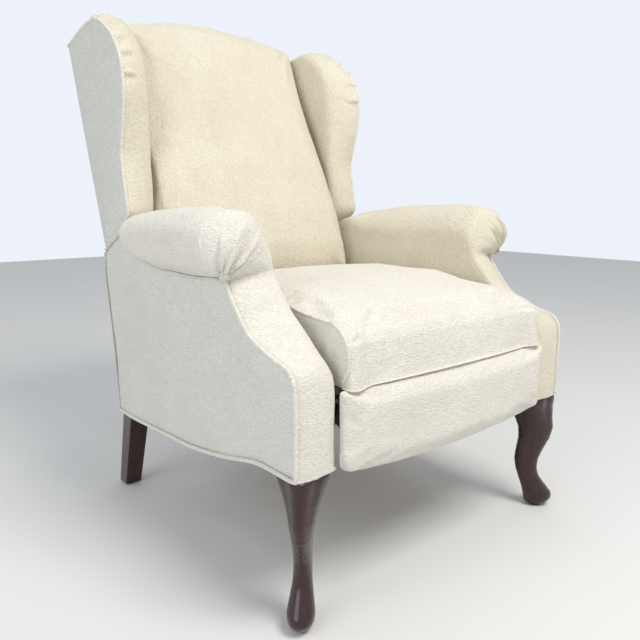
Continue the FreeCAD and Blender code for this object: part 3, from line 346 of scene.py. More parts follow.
def sawn_timber(name):
    material, shader, make = new_material(name)
    where = make("TexCoord").outputs["Object"]
    along = make("Mapping", {"Vector": where, "Scale": (40.0, 6.0, 40.0)}).outputs["Vector"]
    grain = make("TexNoise", {"Vector": along, "Scale": 2.0, "Detail": 8.0, "Roughness": 0.7})
    colour = ramp(make, grain.outputs["Fac"], 0.3, 0.7, (0.30, 0.18, 0.09), (0.62, 0.43, 0.25))
    rough = make("MapRange", {"Value": grain.outputs["Fac"], "To Min": 0.6, "To Max": 0.85})
    bump = make("Bump", {"Strength": 0.3, "Distance": 0.0008, "Height": grain.outputs["Fac"]})
    link_inputs(material, shader, Base_Color=colour, Roughness=rough.outputs["Result"],
                Normal=bump.outputs["Normal"])
    return material


def coated_steel(name, dark, light, metallic, rough_low, rough_high):
    material, shader, make = new_material(name, Metallic=metallic)
    where = make("TexCoord").outputs["Object"]
    grain = make("TexNoise", {"Vector": where, "Scale": 350.0, "Detail": 3.0})
    smudge = make("TexNoise", {"Vector": where, "Scale": 22.0, "Detail": 4.0})
    colour = ramp(make, smudge.outputs["Fac"], 0.3, 0.7, dark, light)
    rough = make("MapRange", {"Value": smudge.outputs["Fac"], "To Min": rough_low, "To Max": rough_high})
    bump = make("Bump", {"Strength": 0.15, "Distance": 0.0003, "Height": grain.outputs["Fac"]})
    link_inputs(material, shader, Base_Color=colour, Roughness=rough.outputs["Result"],
                Normal=bump.outputs["Normal"])
    return material


def ribbed_cloth(name, dark, light, pitch):
    material, shader, make = new_material(name, Roughness=0.9)
    where = make("TexCoord").outputs["Object"]
    ribs = make("TexWave", {"Vector": where, "Scale": pitch, "Distortion": 1.5, "Detail": 2.0},
                bands_direction="X")
    fuzz = make("TexNoise", {"Vector": where, "Scale": 500.0, "Detail": 2.0})
    mixed = make("Math", {0: ribs.outputs["Fac"], 1: fuzz.outputs["Fac"]}, operation="MULTIPLY")
    colour = ramp(make, mixed.outputs["Value"], 0.1, 0.6, dark, light)
    bump = make("Bump", {"Strength": 0.4, "Distance": 0.0008, "Height": mixed.outputs["Value"]})
    link_inputs(material, shader, Base_Color=colour, Normal=bump.outputs["Normal"])
    return material


WAVES_LEVEL = (150.0, 150.0, 380.0)
WAVES_UPRIGHT = (330.0, 230.0, 180.0)
# Three copies of the one upholstery cloth. The plain copy has the cloth's own colour; the cool copy is darker and
# bluer, painted shade for the sides turned away from the light.
shade_painted_cloth = woven_fabric("shade_painted_cloth", (0.71, 0.705, 0.65), (0.81, 0.805, 0.75), WAVES_LEVEL)
plain_cloth = woven_fabric("plain_cloth", (0.79, 0.755, 0.67), (0.88, 0.85, 0.775), WAVES_LEVEL)
# The warm copy is yellower, painted warm light for the faces where the light falls warm.
warm_light_painted_cloth = woven_fabric("warm_light_painted_cloth", (0.76, 0.70, 0.555), (0.85, 0.80, 0.66), WAVES_UPRIGHT)
mahogany = lacquered_wood("mahogany", (0.007, 0.0009, 0.0008), (0.040, 0.0040, 0.0032))
timber = sawn_timber("timber")
black_steel = coated_steel("black_steel", (0.012, 0.012, 0.013), (0.03, 0.03, 0.032), 0.3, 0.35, 0.55)
zinc_steel = coated_steel("zinc_steel", (0.32, 0.33, 0.34), (0.5, 0.5, 0.49), 1.0, 0.25, 0.45)
elastic = ribbed_cloth("elastic", (0.03, 0.027, 0.024), (0.10, 0.09, 0.08), 260.0)
deck_felt = ribbed_cloth("deck_felt", (0.16, 0.15, 0.14), (0.32, 0.31, 0.29), 120.0)
nylon = coated_steel("nylon", (0.015, 0.012, 0.01), (0.03, 0.025, 0.02), 0.0, 0.45, 0.6)

SLOT_LOOKS = {
    "frame_timber": timber, "leg_wood": mahogany, "steel": black_steel, "bright_steel": zinc_steel,
    "spring_steel": zinc_steel, "webbing": elastic, "deck_cloth": deck_felt, "glide_plastic": nylon,
    "upholstery": plain_cloth,
}
for row in frame["record"]["subparts"]:
    node = frame["nodes"][row["node"]]
    node.data.materials.clear()
    node.data.materials.append(SLOT_LOOKS[row["material_slot"]])


def finish_piece(piece, material, body, replaces=()):
    piece.data.materials.append(material)
    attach(piece, body)
    if replaces:
        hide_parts(*replaces)
    return piece


# Arms

WELT = 0.0036  # radius of the cord in a welt
CLOTH = 0.003  # thickness of a stretched cover
HEM_FRONT_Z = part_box("front_leg_right")[1].z
# The (back, up) points of the outer and the inner edge of the band over the sloping front
OUTER_EDGE = [(0.001, HEM_FRONT_Z), (0.0, 0.32), (0.001, 0.387), (0.010, 0.410), (0.028, 0.420),
              (0.065, 0.430), (0.117, 0.452), (0.150, 0.485), (0.172, 0.513), (0.183, 0.532)]
INNER_EDGE = [(0.004, HEM_FRONT_Z), (0.004, 0.32), (0.005, 0.385), (0.016, 0.409), (0.042, 0.430),
              (0.082, 0.462), (0.112, 0.487), (0.130, 0.507), (0.144, 0.524), (0.156, 0.540)]
ARM_BAND = ((0.12, 0.004), (0.35, 0.0065), (0.6, 0.0065), (0.82, 0.003), (0.96, -0.004))
HUB = np.array([ARM_IN + 0.002, 0.36, 0.36])
PLEAT_POINT = np.array([0.352, 0.182, 0.536])
# The rows that fan out from the pleat point: over the sloping front, the pleats and the curved seam
FAN_ROWS = [
    [(0.343, 0.168, 0.543), (0.328, 0.158, 0.549), (0.308, 0.151, 0.556), (0.288, 0.153, 0.562),
     (0.270, 0.163, 0.567), (ARM_IN, 0.176, 0.566)],
    [(0.345, 0.164, 0.551), (0.334, 0.150, 0.567), (0.316, 0.147, 0.587), (0.297, 0.156, 0.606),
     (0.277, 0.174, 0.608), (ARM_IN, 0.190, 0.587)],
    [(0.352, 0.160, 0.560), (0.344, 0.148, 0.583), (0.334, 0.149, 0.605), (0.316, 0.161, 0.627),
     (0.288, 0.184, 0.629), (ARM_IN, 0.203, 0.595)],
    [(0.362, 0.164, 0.560), (0.366, 0.158, 0.584), (0.360, 0.163, 0.612), (0.341, 0.176, 0.634),
     (0.298, 0.197, 0.637), (ARM_IN, 0.214, 0.597)],
    [(0.377, 0.177, 0.550), (0.387, 0.184, 0.580), (0.380, 0.192, 0.612), (0.350, 0.200, 0.637),
     (0.298, 0.214, 0.638), (ARM_IN, 0.225, 0.597)],
]
# How high the roll's top and the seam under it are, and how far out it reaches, by distance back
ROLL_TOP = [(0.22, 0.645), (0.265, 0.646), (0.409, 0.640), (0.520, 0.628), (0.580, 0.613),
            (0.620, 0.598), (0.660, 0.570), (0.684, 0.551)]
ROLL_LOW = [(0.22, 0.533), (0.296, 0.528), (0.440, 0.532), (0.490, 0.540), (0.520, 0.553),
            (0.545, 0.572), (0.565, 0.588), (0.600, 0.584), (0.684, 0.542)]
ROLL_OUT = [(0.22, 0.389), (0.46, 0.389), (0.500, 0.386), (0.525, 0.377), (0.545, 0.362),
            (0.560, 0.350), (0.60, 0.347), (0.684, 0.347)]
ROLL_STATIONS = (0.232, 0.26, 0.32, 0.39, 0.44, 0.475, 0.50, 0.517, 0.533, 0.547, 0.562, 0.59, 0.63,
                 0.665, 0.684)


def at(table, y):
    return np.interp(y, [row[0] for row in table], [row[1] for row in table])


def towards_hub(point, steps):
    """Points down the inner side of an arm, from the given one towards the place below the seat
    that they all run to."""
    end = HUB + (point - HUB) * 0.12
    return [point + (end - point) * share * np.array([1, share, 1]) for share in steps]


def band_row(outer, inner, number, out_x, in_x, crown, tuck):
    """A row across the padded band between an outer and an inner edge, at a numbered point of both.
    The crown says how far the band stands proud at shares of its width, and the tuck how far its
    inner edge is pulled in."""
    before, after = outer[max(number - 1, 0)], outer[min(number + 1, len(outer) - 1)]
    run, climb = after[0] - before[0], after[1] - before[1]
    length = math.hypot(run, climb)
    out = np.array([0, -climb / length, run / length])
    start, end = np.array([out_x, *outer[number]]), np.array([in_x, *inner[number]])
    row = [start] + [start + (end - start) * share + out * proud for share, proud in crown]
    return row + [end - out * tuck]


def roll_row(y):
    """A row over the roll of an arm, from the seam under it round to the inner side."""
    top, low, out = at(ROLL_TOP, y), at(ROLL_LOW, y), at(ROLL_OUT, y)
    middle, half = (out + ARM_IN) / 2, (out - ARM_IN) / 2
    centre, height = (top + low) / 2, (top - low) / 2
    row = [np.array([min(ARM_OUT, out - 0.001), y, low])]
    for degrees in (-38, 10, 48, 88, 132):
        turn = math.radians(degrees)
        row.append(np.array([middle + half * math.cos(turn), y, centre + height * math.sin(turn)]))
    row.append(np.array([ARM_IN, y, centre + height * 0.1]))
    return row


def arm_rows():
    rows = [band_row(OUTER_EDGE, INNER_EDGE, number, ARM_OUT, ARM_IN, ARM_BAND, 0.018)
            for number in range(len(OUTER_EDGE))]
    rows += [[PLEAT_POINT] + [np.array(p) for p in fan] for fan in FAN_ROWS]
    rows += [roll_row(y) for y in ROLL_STATIONS]
    return np.array([row + towards_hub(row[-1], (0.18, 0.42, 0.7, 1.0)) for row in rows])


def arm_cover(label, side):
    fan = len(FAN_ROWS) + 1
    rows = refine(arm_rows(), [7] * (len(OUTER_EDGE) - 1) + [22] * fan + [7] * (len(ROLL_STATIONS) - 1))
    grid = refine(rows.transpose(1, 0, 2), [14] * 5 + [7] * 5).transpose(1, 0, 2)
    return grid_piece("arm_cover_" + label, grid, side)


def outer_edge_path(count):
    return evenly(upright(ARM_OUT, OUTER_EDGE) + [tuple(PLEAT_POINT)], count)


HEM = [(0.0, HEM_FRONT_Z), (0.063, 0.250), (0.104, 0.248), (0.140, 0.241), (0.190, 0.229),
       (0.243, 0.219), (0.318, 0.208), (0.400, 0.203), (0.502, 0.197), (0.578, 0.193), (0.650, 0.193)]
REAR_EDGE = [(0.650, 0.193), (0.661, 0.329), (0.675, 0.417), (0.687, 0.493), (0.686, 0.520), (0.684, 0.542)]


def arm_side(label, side):
    """The outer panel of an arm, stretched over its frame."""
    rows, cols = 90, 130
    hem = evenly(upright(ARM_OUT, HEM), cols)
    rear = evenly(upright(ARM_OUT, REAR_EDGE), rows)
    stations = (0.21, 0.3, 0.4, 0.456, 0.51, 0.54, 0.565, 0.60, 0.64, 0.684)
    top = [tuple(PLEAT_POINT)] + [(ARM_OUT, y, at(ROLL_LOW, y)) for y in stations]
    grid = patch(hem, evenly(top, cols), outer_edge_path(rows), rear)
    grid[:, :, 0] = ARM_OUT - CLOTH + dome(rows, cols, 0.0045)
    return thicken(grid_piece("arm_side_" + label, grid, side), CLOTH)


# Each fold on an arm cover: its points, its depth, its width, its lip and how fast its ends come in
ROLL_FOLDS = [
    ([tuple(PLEAT_POINT)] + FAN_ROWS[1][:4], 0.0075, 0.0024, 0.45, (14, 4)),
    ([tuple(PLEAT_POINT)] + FAN_ROWS[2][:4], 0.0085, 0.0024, 0.45, (14, 4)),
    ([tuple(PLEAT_POINT)] + FAN_ROWS[3][:3], 0.0065, 0.0022, 0.45, (14, 4)),
    ([(0.350, 0.178, 0.538), (0.336, 0.160, 0.552), (0.312, 0.150, 0.570), (0.288, 0.156, 0.587)],
     0.0026, 0.005, 0.2, (4, 3)),
]
SEAM = [tuple(PLEAT_POINT)] + FAN_ROWS[4][:3]


def seam_tube(name, points, piece, radius):
    """A sewn welt that lies on a piece and sinks away at its far end."""
    path = on_surface(evenly(points, 70), piece, radius * 0.4)
    return tube(name, path, radius * np.clip((1 - np.linspace(0, 1, 70)) * 4, 0.15, 1))


def arm_back(label, side):
    """The cloth over the rear of an arm, beside the back."""
    rows, cols = 60, 24
    outer = evenly(upright(ARM_OUT, REAR_EDGE), rows)
    inner = outer * np.array([0, 1, 1]) + np.array([ARM_IN + 0.006, 0.002, 0])
    share = np.linspace(0, 1, cols)[None, :, None]
    grid = outer[:, None] * (1 - share) + inner[:, None] * share
    grid[:, :, 1] += dome(rows, cols, 0.004)
    return thicken(grid_piece("arm_back_" + label, grid[:, ::-1], side), CLOTH)


for label, side in SIDES:
    # The left side's outer panels take the copy painted with shade.
    outside = shade_painted_cloth if side == LEFT else plain_cloth
    cover = arm_cover(label, side)
    for points, depth, width, lip, fade in ROLL_FOLDS:
        path = on_surface(to_frame(evenly(points, 40), side), cover, 0)
        fold(cover, path, depth, width, side * lip, fade)
    ripple(cover, 0.0015, 0.05, 3 + side)
    # The right arm's cover takes the copy painted with warm light.
    finish_piece(cover, plain_cloth if side == LEFT else warm_light_painted_cloth, "frame",
                 ("inside_arm_" + label, "arm_front_" + label, "arm_roll_" + label))
    seam = seam_tube("roll_seam_" + label, to_frame(evenly(SEAM, 70), side), cover, 0.0026)
    finish_piece(seam, plain_cloth, "frame")
    panel = arm_side(label, side)
    ripple(panel, 0.0014, 0.09, 8 + side)
    finish_piece(panel, outside, "frame", ("outside_arm_" + label,))
    finish_piece(arm_back(label, side), outside, "frame")
    edge = to_frame(outer_edge_path(140) + np.array([0.0012, -0.0016, 0.001]), side)
    finish_piece(tube("arm_welt_" + label, edge, WELT), plain_cloth, "frame")
    hem = to_frame(evenly([(ARM_IN + 0.004, 0.006, HEM_FRONT_Z + 0.001), (0.30, 0.0, HEM_FRONT_Z),
                           (0.334, 0.0, HEM_FRONT_Z), (ARM_OUT, 0.010, HEM_FRONT_Z)]
                          + upright(ARM_OUT, HEM[1:]), 160), side)
    finish_piece(tube("hem_welt_" + label, hem, WELT), plain_cloth, "frame")


def bevelled_box(name, low, high, bevel):
    verts = [(x, y, z) for x in (low[0], high[0]) for y in (low[1], high[1]) for z in (low[2], high[2])]
    piece = mesh_piece(name, verts, [(0, 1, 3, 2), (4, 6, 7, 5), (0, 4, 5, 1), (2, 3, 7, 6),
                                     (0, 2, 6, 4), (1, 5, 7, 3)])
    edge = piece.modifiers.new("bevel", "BEVEL")
    edge.width, edge.segments = bevel, 2
    return piece


# The boards on top of the arms, with their front ends cut short of the folds
BOARD_CUT = 0.04
board_low, board_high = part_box("arm_boards")
inner_x = min(abs(v.co.x) for v in frame["nodes"]["arm_boards"].data.vertices)
for label, side in SIDES:
    low, high = sorted((side * inner_x, side * board_high.x))
    board = bevelled_box("arm_board_" + label, (low, board_low.y + BOARD_CUT, board_low.z),
                         (high, board_high.y, board_high.z), 0.002)
    finish_piece(board, timber, "frame", ("arm_boards",))


# Soft pieces made by simulation

def remeshed(piece, voxel):
    remesh = piece.modifiers.new("remesh", "REMESH")
    remesh.mode, remesh.voxel_size, remesh.use_smooth_shade = "VOXEL", voxel, True


SETTLING_FRAMES = 20


def inflated(name, node, voxel, pressure, cap, pinned, shrink):
    """A cushion: the CAD solid shrunk and remeshed, then filled out as cloth by the pressure of its
    stuffing. No point moves further than the cap."""
    piece = cad_copy(name, node)
    set_vertices(piece, vertices(piece) - normals(piece) * shrink)
    remeshed(piece, voxel)
    apply_modifiers(piece)
    rest = vertices(piece)
    held = piece.vertex_groups.new(name="held")
    held.add([int(i) for i in np.nonzero(pinned(rest))[0]], 1.0, "REPLACE")
    cloth = piece.modifiers.new("cloth", "CLOTH")
    settings = cloth.settings
    settings.quality = 5
    settings.mass = 0.3
    settings.tension_stiffness = 15
    settings.compression_stiffness = 15
    settings.bending_stiffness = 0.5
    settings.use_pressure = True
    settings.uniform_pressure_force = pressure
    settings.vertex_group_mass = "held"
    settings.effector_weights.gravity = 0
    for number in range(1, SETTLING_FRAMES + 1):
        bpy.context.scene.frame_set(number)
    moved = bpy.data.meshes.new_from_object(piece.evaluated_get(bpy.context.evaluated_depsgraph_get()))
    shift = read_vectors(moved.vertices, "co") - rest
    piece.modifiers.clear()
    piece.vertex_groups.clear()
    far = np.linalg.norm(shift, axis=1)
    shift *= np.minimum(1, cap / np.maximum(far, 1e-9))[:, None]
    set_vertices(piece, rest + shift)
    bpy.data.meshes.remove(moved)
    bpy.context.scene.frame_set(1)
    smooth = piece.modifiers.new("smooth", "SMOOTH")
    smooth.iterations = 3
    finer = piece.modifiers.new("finer", "SUBSURF")
    finer.levels = finer.render_levels = 1
    apply_modifiers(piece)
    shade_smooth(piece.data)
    return piece


def fit_between(piece, low, high):
    """Stretches a piece so that its box runs from low to high."""
    co = vertices(piece)
    first, last = co.min(0), co.max(0)
    low, high = np.array(low), np.array(high)
    set_vertices(piece, low + (co - first) / (last - first) * (high - low))


def low_side(node, share):
    low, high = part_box(node)
    return lambda co: co[:, 2] < low.z + (high.z - low.z) * share


def back_side(node, depth):
    _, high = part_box(node)
    return lambda co: co[:, 1] > high.y - depth


def eased(value, start, end):
    """From 0 at the start to 1 at the end, smoothly."""
    t = np.clip((value - start) / (end - start), 0, 1)
    return t * t * (3 - 2 * t)


LIP_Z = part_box("footrest_pad")[1].z + 0.003
CORNER_FILL = 0.020
FRONT_SPREAD = 0.034


def square_up(piece):
    """Fills the cushion's front corners and widens its front by a share, and brings its borders
    down over the front and the ends of the seat."""
    co = vertices(piece)
    wide, back = np.abs(co[:, 0]), co[:, 1] - FRONT
    co[:, 1] -= CORNER_FILL * eased(wide, 0.19, 0.245) * eased(back, 0.05, 0.0)
    co[:, 0] *= 1 + FRONT_SPREAD * eased(back, 0.10, 0.0)
    over_front = eased(back, 0.06, 0.03)
    over_end = eased(wide, 0.228, 0.238) * eased(back, 0.16, 0.12)
    low = np.maximum(over_front, over_end) * eased(co[:, 2], 0.455, 0.425)
    drop = np.minimum(LIP_Z + 0.9 * np.maximum(co[:, 2] - 0.43, 0) - co[:, 2], 0)
    co[:, 2] += low * drop * (co[:, 2] < 0.44)
    set_vertices(piece, co)


# The (back, up) points of the welt round each end of the cushion
CUSHION_END = [(0.004, 0.384), (-0.006, 0.405), (-0.005, 0.436), (0.006, 0.457), (0.030, 0.475),
               (0.073, 0.487), (0.130, 0.495), (0.220, 0.500), (0.340, 0.501), (0.440, 0.497),
               (0.510, 0.480)]

cushion = inflated("cushion", "seat_cushion", 0.006, 3.0, 0.009, low_side("seat_cushion", 0.12), 0.004)
low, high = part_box("seat_cushion")
fit_between(cushion, (low.x - 0.001, low.y - 0.002, low.z), (high.x + 0.001, high.y, high.z + 0.001))
square_up(cushion)
ripple(cushion, 0.0016, 0.08, 1)
for label, side in SIDES:
    end_x = side * 0.250
    for points, depth, width in (
        ([(end_x - side * 0.003, FRONT - 0.012, 0.447), (end_x - side * 0.022, FRONT - 0.009, 0.455),
          (end_x - side * 0.045, FRONT - 0.004, 0.459)], 0.004, 0.005),
        ([(end_x - side * 0.004, FRONT + 0.004, 0.462), (end_x - side * 0.016, FRONT + 0.012, 0.473),
          (end_x - side * 0.030, FRONT + 0.030, 0.484)], 0.003, 0.005),
    ):
        fold(cushion, on_surface(evenly(points, 24), cushion, 0), depth, width, 0.2, (4, 3))
    welt = on_surface(evenly([(end_x, FRONT + y, z) for y, z in CUSHION_END], 120), cushion, 0.0012)
    finish_piece(tube("cushion_welt_" + label, welt, 0.0032), plain_cloth, "seat")
finish_piece(cushion, plain_cloth, "seat", ("seat_cushion",))

rest_pad = inflated("leg_rest_pad", "footrest_pad", 0.0055, 4.0, 0.010, back_side("footrest_pad", 0.012),
                    0.002)
low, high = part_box("footrest_pad")
fit_between(rest_pad, (low.x - 0.006, low.y - 0.001, low.z), (high.x + 0.006, high.y, high.z + 0.001))
ripple(rest_pad, 0.0015, 0.06, 2)
finish_piece(rest_pad, plain_cloth, "footrest", ("footrest_pad",))

# The back's own axes: up along its rake, and square to it
RAKE = math.radians(19.6)
back_up = Vector((0, math.sin(RAKE), math.cos(RAKE)))
back_out = Vector((0, math.cos(RAKE), -math.sin(RAKE)))
hinge = Vector(next(j["pos_m"] for j in frame["joints"] if j["name"] == "back_recline"))
back_rear = max((Vector(v.co) - hinge).dot(back_out) for v in frame["nodes"]["back_pad"].data.vertices)


def behind_pad(co):
    return (co - np.array(hinge)) @ np.array(back_out) > back_rear - 0.012


back_cushion = inflated("back_cushion", "back_pad", 0.0065, 4.0, 0.009, behind_pad, 0.003)
low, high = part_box("back_pad")
fit_between(back_cushion, (low.x - 0.002, low.y, low.z), (high.x + 0.002, high.y, high.z))
ripple(back_cushion, 0.0026, 0.13, 5)
# The back cushion takes the copy painted with warm light.
finish_piece(back_cushion, warm_light_painted_cloth, "back", ("back_pad",))


# Wings

WING_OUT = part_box("wing_cover_right")[1].x
WING_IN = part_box("wing_pad_right")[0].x
# The (back, up) points of the outer and the inner edge of the band round a wing
WING_EDGE = [(0.736, 0.534), (0.671, 0.577), (0.630, 0.606), (0.606, 0.630), (0.612, 0.664),
             (0.624, 0.738), (0.619, 0.772), (0.603, 0.830), (0.596, 0.868), (0.596, 0.896),
             (0.601, 0.928), (0.616, 0.957), (0.639, 0.983), (0.673, 1.008), (0.712, 1.027),
             (0.745, 1.031), (0.806, 1.024), (0.893, 1.004)]
WING_INNER_EDGE = [(0.712, 0.548), (0.680, 0.577), (0.640, 0.606), (0.624, 0.634), (0.622, 0.680),
                   (0.624, 0.741), (0.625, 0.780), (0.627, 0.838), (0.628, 0.868), (0.630, 0.896),
                   (0.634, 0.928), (0.644, 0.958), (0.662, 0.988), (0.690, 1.014), (0.722, 1.034),
                   (0.755, 1.038), (0.804, 1.031), (0.879, 1.012)]
WING_BAND = ((0.1, 0.004), (0.32, 0.008), (0.6, 0.008), (0.85, 0.002), (0.97, -0.007))
WING_MIDDLE = (0.72, 0.80)
WING_HUB = np.array([WING_IN + 0.01, *WING_MIDDLE])


def wing_rows():
    """The rows of a wing's band, each going on down the inner side towards the hub."""
    rows = []
    for number in range(len(WING_EDGE)):
        row = band_row(WING_EDGE, WING_INNER_EDGE, number, WING_OUT, WING_IN, WING_BAND, 0.022)
        rows.append(row + [row[-1] + (WING_HUB - row[-1]) * share for share in (0.25, 0.55, 0.9)])
    return np.array(rows)


def wing_band(label, side):
    rows = refine(wing_rows(), 10)
    grid = refine(rows.transpose(1, 0, 2), 8).transpose(1, 0, 2)
    return grid_piece("wing_band_" + label, grid, side)


def wing_panel(label, side):
    """The outer panel of a wing: rings from its edge in to its middle."""
    front = evenly(upright(WING_OUT, WING_EDGE), 150)
    rear = evenly(upright(WING_OUT, [WING_EDGE[-1], (0.815, 0.766), WING_EDGE[0]]), 60)
    edge = np.vstack([front, rear[1:]])
    middle = np.array([WING_OUT, *WING_MIDDLE])
    grid = []
    for share in np.linspace(0, 1, 36):
        ring = edge + (middle - edge) * share
        ring[:, 0] = WING_OUT - CLOTH + 0.006 * (1 - (1 - share) ** 5)
        grid.append(ring)
    return thicken(grid_piece("wing_panel_" + label, np.array(grid), side), CLOTH)


# The short pleats where the band turns over the top of a wing: the place on its edge, in rows, of each
WING_PLEATS = (9.3, 10.6, 11.7, 12.8, 13.9, 15.0)


def wing_pleat(number):
    """A pleat's points, from the outer edge of the wing a third of the way over its front."""
    rows = wing_rows()
    low, share = int(number), number - int(number)
    row = rows[low] * (1 - share) + rows[low + 1] * share
    return evenly(row[:4], 24)[:20]


for label, side in SIDES:
    band = wing_band(label, side)
    for number in WING_PLEATS:
        fold(band, to_frame(wing_pleat(number), side), 0.0065, 0.004, -side * 0.5, (12, 2))
    ripple(band, 0.0013, 0.05, 11 + side)
    # The wing bands take the copy painted with warm light.
    finish_piece(band, warm_light_painted_cloth, "back", ("wing_pad_" + label,))
    panel = wing_panel(label, side)
    # The left wing's panel takes the copy painted with shade.
    finish_piece(panel, shade_painted_cloth if side == LEFT else plain_cloth, "back",
                 ("wing_cover_" + label,))
    edge = to_frame(evenly(upright(WING_OUT, WING_EDGE), 170), side)
    finish_piece(tube("wing_welt_" + label, edge, WELT), plain_cloth, "back")


# Outside of the back

def back_place(x, rear, up):
    """A point in the row frame, from its distances behind and above the hinge in the back's own axes."""
    return np.array([x, 0, 0]) + np.array(hinge + back_out * rear + back_up * up)


back_node = [(v.co.x, (v.co - hinge).dot(back_out), (v.co - hinge).dot(back_up))
             for v in frame["nodes"]["outside_back"].data.vertices]
BACK_REAR = max(n for _, n, _ in back_node)
BACK_TOP = max(up for _, _, up in back_node)
BACK_SHOULDER = BACK_TOP - 0.047
BACK_FOOT = min(up for _, _, up in back_node)
# Half the width of the cover, by height: narrow between the arms, full above them
BACK_NARROW = [(BACK_FOOT, 0.234), (-0.026, 0.234), (-0.020, 0.246), (0.168, 0.248),
               (0.174, WING_OUT - 0.002), (BACK_TOP, WING_OUT - 0.002)]


BACK_SEAM = BACK_REAR - 0.002
STEP_ROWS = 68


def outside_back():
    """The outer cover and its grid, whose first rows reach to the step where it widens."""
    rows, cols = 150, 70
    grid = np.zeros((rows, cols, 3))
    levels = np.concatenate([np.linspace(BACK_FOOT, 0.166, STEP_ROWS - 8), np.linspace(0.167, 0.176, 8),
                             np.linspace(0.178, BACK_SHOULDER, rows - STEP_ROWS)])
    swell = dome(rows, cols, 0.004)
    for r, level in enumerate(levels):
        half = at(BACK_NARROW, level)
        for c, share in enumerate(np.linspace(-1, 1, cols)):
            arch = ((BACK_TOP - BACK_SHOULDER) * (1 - share ** 2)
                    * max(0, r - STEP_ROWS) / (rows - STEP_ROWS - 1))
            grid[r, c] = back_place(half * share, BACK_SEAM + swell[r, c], level + arch)
    piece = mesh_piece("back_outer_cover", grid.reshape(-1, 3), grid_faces(rows, cols, flip=True))
    return thicken(piece, CLOTH), grid


back_cover, back_grid = outside_back()
ripple(back_cover, 0.0014, 0.11, 21)
# The outer back cover takes the copy painted with shade.
finish_piece(back_cover, shade_painted_cloth, "back", ("outside_back",))
above_step = back_grid[STEP_ROWS + 4:]
rim = np.vstack([above_step[:, 0], above_step[-1, 1:-1], above_step[::-1, -1]])
finish_piece(tube("back_welt", rim, WELT), plain_cloth, "back")

# The inside cloth turned over the top of the back, down to the outer cover
PAD_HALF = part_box("back_pad")[1].x
PAD_DROP = 0.034
PAD_EDGE = 0.012
turn_rows, turn_cols = 16, 90
turn = np.zeros((turn_rows, turn_cols, 3))
for c, share in enumerate(np.linspace(-1, 1, turn_cols)):
    pad_up = BACK_TOP - 0.003 - PAD_DROP * share ** 2
    cover_up = BACK_TOP - 0.001 - (BACK_TOP - BACK_SHOULDER) * (share * PAD_HALF / WING_OUT) ** 2
    for r, back in enumerate(np.linspace(0, 1, turn_rows)):
        bulge = 0.003 * math.sin(math.pi * back)
        turn[r, c] = back_place(share * PAD_HALF, -PAD_EDGE + (BACK_SEAM + PAD_EDGE) * back,
                                pad_up + (cover_up - pad_up) * back + bulge)
top_turn = mesh_piece("back_top_turn", turn.reshape(-1, 3), grid_faces(turn_rows, turn_cols))
# The cloth turned over the top of the back takes the copy painted with warm light.
finish_piece(thicken(top_turn, CLOTH), warm_light_painted_cloth, "back")

# The panel across the rear of the frame
apron_low, apron_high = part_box("rear_apron")
apron_rows, apron_cols = 30, 90
apron = np.zeros((apron_rows, apron_cols, 3))
apron[:, :, 0] = np.linspace(apron_low.x, apron_high.x, apron_cols)[None, :]
apron[:, :, 1] = apron_high.y - 0.003 + dome(apron_rows, apron_cols, 0.004)
apron[:, :, 2] = np.linspace(apron_low.z, apron_high.z, apron_rows)[:, None]
rear_panel = mesh_piece("rear_panel", apron.reshape(-1, 3), grid_faces(apron_rows, apron_cols, flip=True))
thicken(rear_panel, 0.004)
ripple(rear_panel, 0.001, 0.09, 23)
# The rear panel takes the copy painted with shade.
finish_piece(rear_panel, shade_painted_cloth, "frame", ("rear_apron",))
for name, row in (("low", apron[0]), ("high", apron[-1])):
    welt = tube("rear_panel_welt_" + name, evenly(row[::3], 90), WELT)
    finish_piece(welt, plain_cloth, "frame")


# Front legs

LEG_SLICE = 0.004  # height of the slices that the shank is slimmed by
LEG_SLIMMER = 0.11


def smooth_leg(label):
    """A cabriole leg: the CAD leg with its facets smoothed away and its shank slimmed."""
    piece = cad_copy("cabriole_leg_" + label, "front_leg_" + label)
    remeshed(piece, 0.003)
    soften = piece.modifiers.new("soften", "SMOOTH")
    soften.factor, soften.iterations = 0.5, 14
    apply_modifiers(piece)
    co, low = vertices(piece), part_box("front_leg_" + label)[0].z
    level = np.round(co[:, 2] / LEG_SLICE).astype(int)
    centre = np.array([[co[level == number, k].mean() if (level == number).any() else 0 for k in (0, 1)]
                       for number in range(level.max() + 1)])
    slim = 1 - LEG_SLIMMER * np.clip(np.minimum(co[:, 2] - 0.03, 0.235 - co[:, 2]) / 0.04, 0, 1)[:, None]
    co[:, :2] = centre[level] + (co[:, :2] - centre[level]) * slim
    co[:, 2] += (low - co[:, 2].min()) * np.clip(1 - (co[:, 2] - low) / 0.02, 0, 1)
    set_vertices(piece, co)
    shade_smooth(piece.data)
    return piece


for label, _ in SIDES:
    finish_piece(smooth_leg(label), mahogany, "frame", ("front_leg_" + label,))


# Camera, light and floor

FLOOR_COLOUR = (0.80, 0.80, 0.79)
BACK_COLOUR = (0.85, 0.89, 0.96)


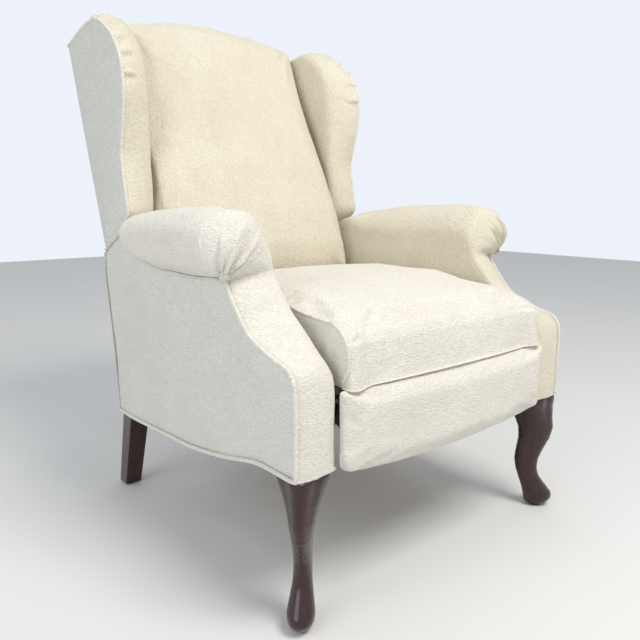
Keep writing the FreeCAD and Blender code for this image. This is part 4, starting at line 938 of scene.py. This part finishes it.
def set_stage():
    floor = mesh_piece("floor", [(-6, -6, 0), (6, -6, 0), (6, 6, 0), (-6, 6, 0)], [(0, 1, 2, 3)])
    material, shader, make = new_material("floor_paint", Roughness=0.7)
    cloudy = make("TexNoise", {"Vector": make("TexCoord").outputs["Object"], "Scale": 1.5})
    link_inputs(material, shader, Base_Color=ramp(make, cloudy.outputs["Fac"], 0.3, 0.7,
                                                  tuple(c * 0.985 for c in FLOOR_COLOUR), FLOOR_COLOUR))
    floor.data.materials.append(material)


def area_light(name, place, target, size, power, colour):
    data = bpy.data.lights.new(name, "AREA")
    data.shape, data.size, data.energy, data.color = "SQUARE", size, power, colour
    lamp = bpy.data.objects.new(name, data)
    bpy.context.scene.collection.objects.link(lamp)
    lamp.location = place
    lamp.rotation_euler = (Vector(target) - Vector(place)).to_track_quat("-Z", "Y").to_euler()


def set_light():
    world = bpy.data.worlds.new("studio")
    bpy.context.scene.world = world
    world.use_nodes = True
    nodes, links = world.node_tree.nodes, world.node_tree.links
    seen = nodes.new("ShaderNodeBackground")
    seen.inputs["Color"].default_value = (*BACK_COLOUR, 1)
    lit = nodes["Background"]  # what lights the chair, where seen is what the camera and gloss see
    lit.inputs["Color"].default_value = (0.93, 0.96, 1.0, 1)
    lit.inputs["Strength"].default_value = 0.55
    path = nodes.new("ShaderNodeLightPath")
    either = nodes.new("ShaderNodeMath")
    either.operation = "MAXIMUM"
    links.new(path.outputs["Is Camera Ray"], either.inputs[0])
    links.new(path.outputs["Is Glossy Ray"], either.inputs[1])
    mix = nodes.new("ShaderNodeMixShader")
    links.new(either.outputs["Value"], mix.inputs["Fac"])
    links.new(lit.outputs["Background"], mix.inputs[1])
    links.new(seen.outputs["Background"], mix.inputs[2])
    links.new(mix.outputs["Shader"], nodes["World Output"].inputs["Surface"])
    area_light("key", (0.3, -1.9, 3.0), (0, 0, 0.5), 1.3, 66, (1.0, 0.97, 0.92))
    area_light("fill", (-2.6, -0.6, 1.6), (0, 0, 0.5), 1.8, 22, (0.93, 0.96, 1.0))


def set_camera():
    data = bpy.data.cameras.new("camera")
    data.lens, data.sensor_width = 36.0, 36.0
    camera = bpy.data.objects.new("camera", data)
    bpy.context.scene.collection.objects.link(camera)
    camera.location = (-0.8730, FRONT - 0.6944, 0.6616)
    camera.rotation_euler = (math.radians(79.113), math.radians(-0.07), math.radians(-39.508))
    bpy.context.scene.camera = camera


set_stage()
set_light()
set_camera()
bpy.context.scene.view_settings.view_transform = "Standard"
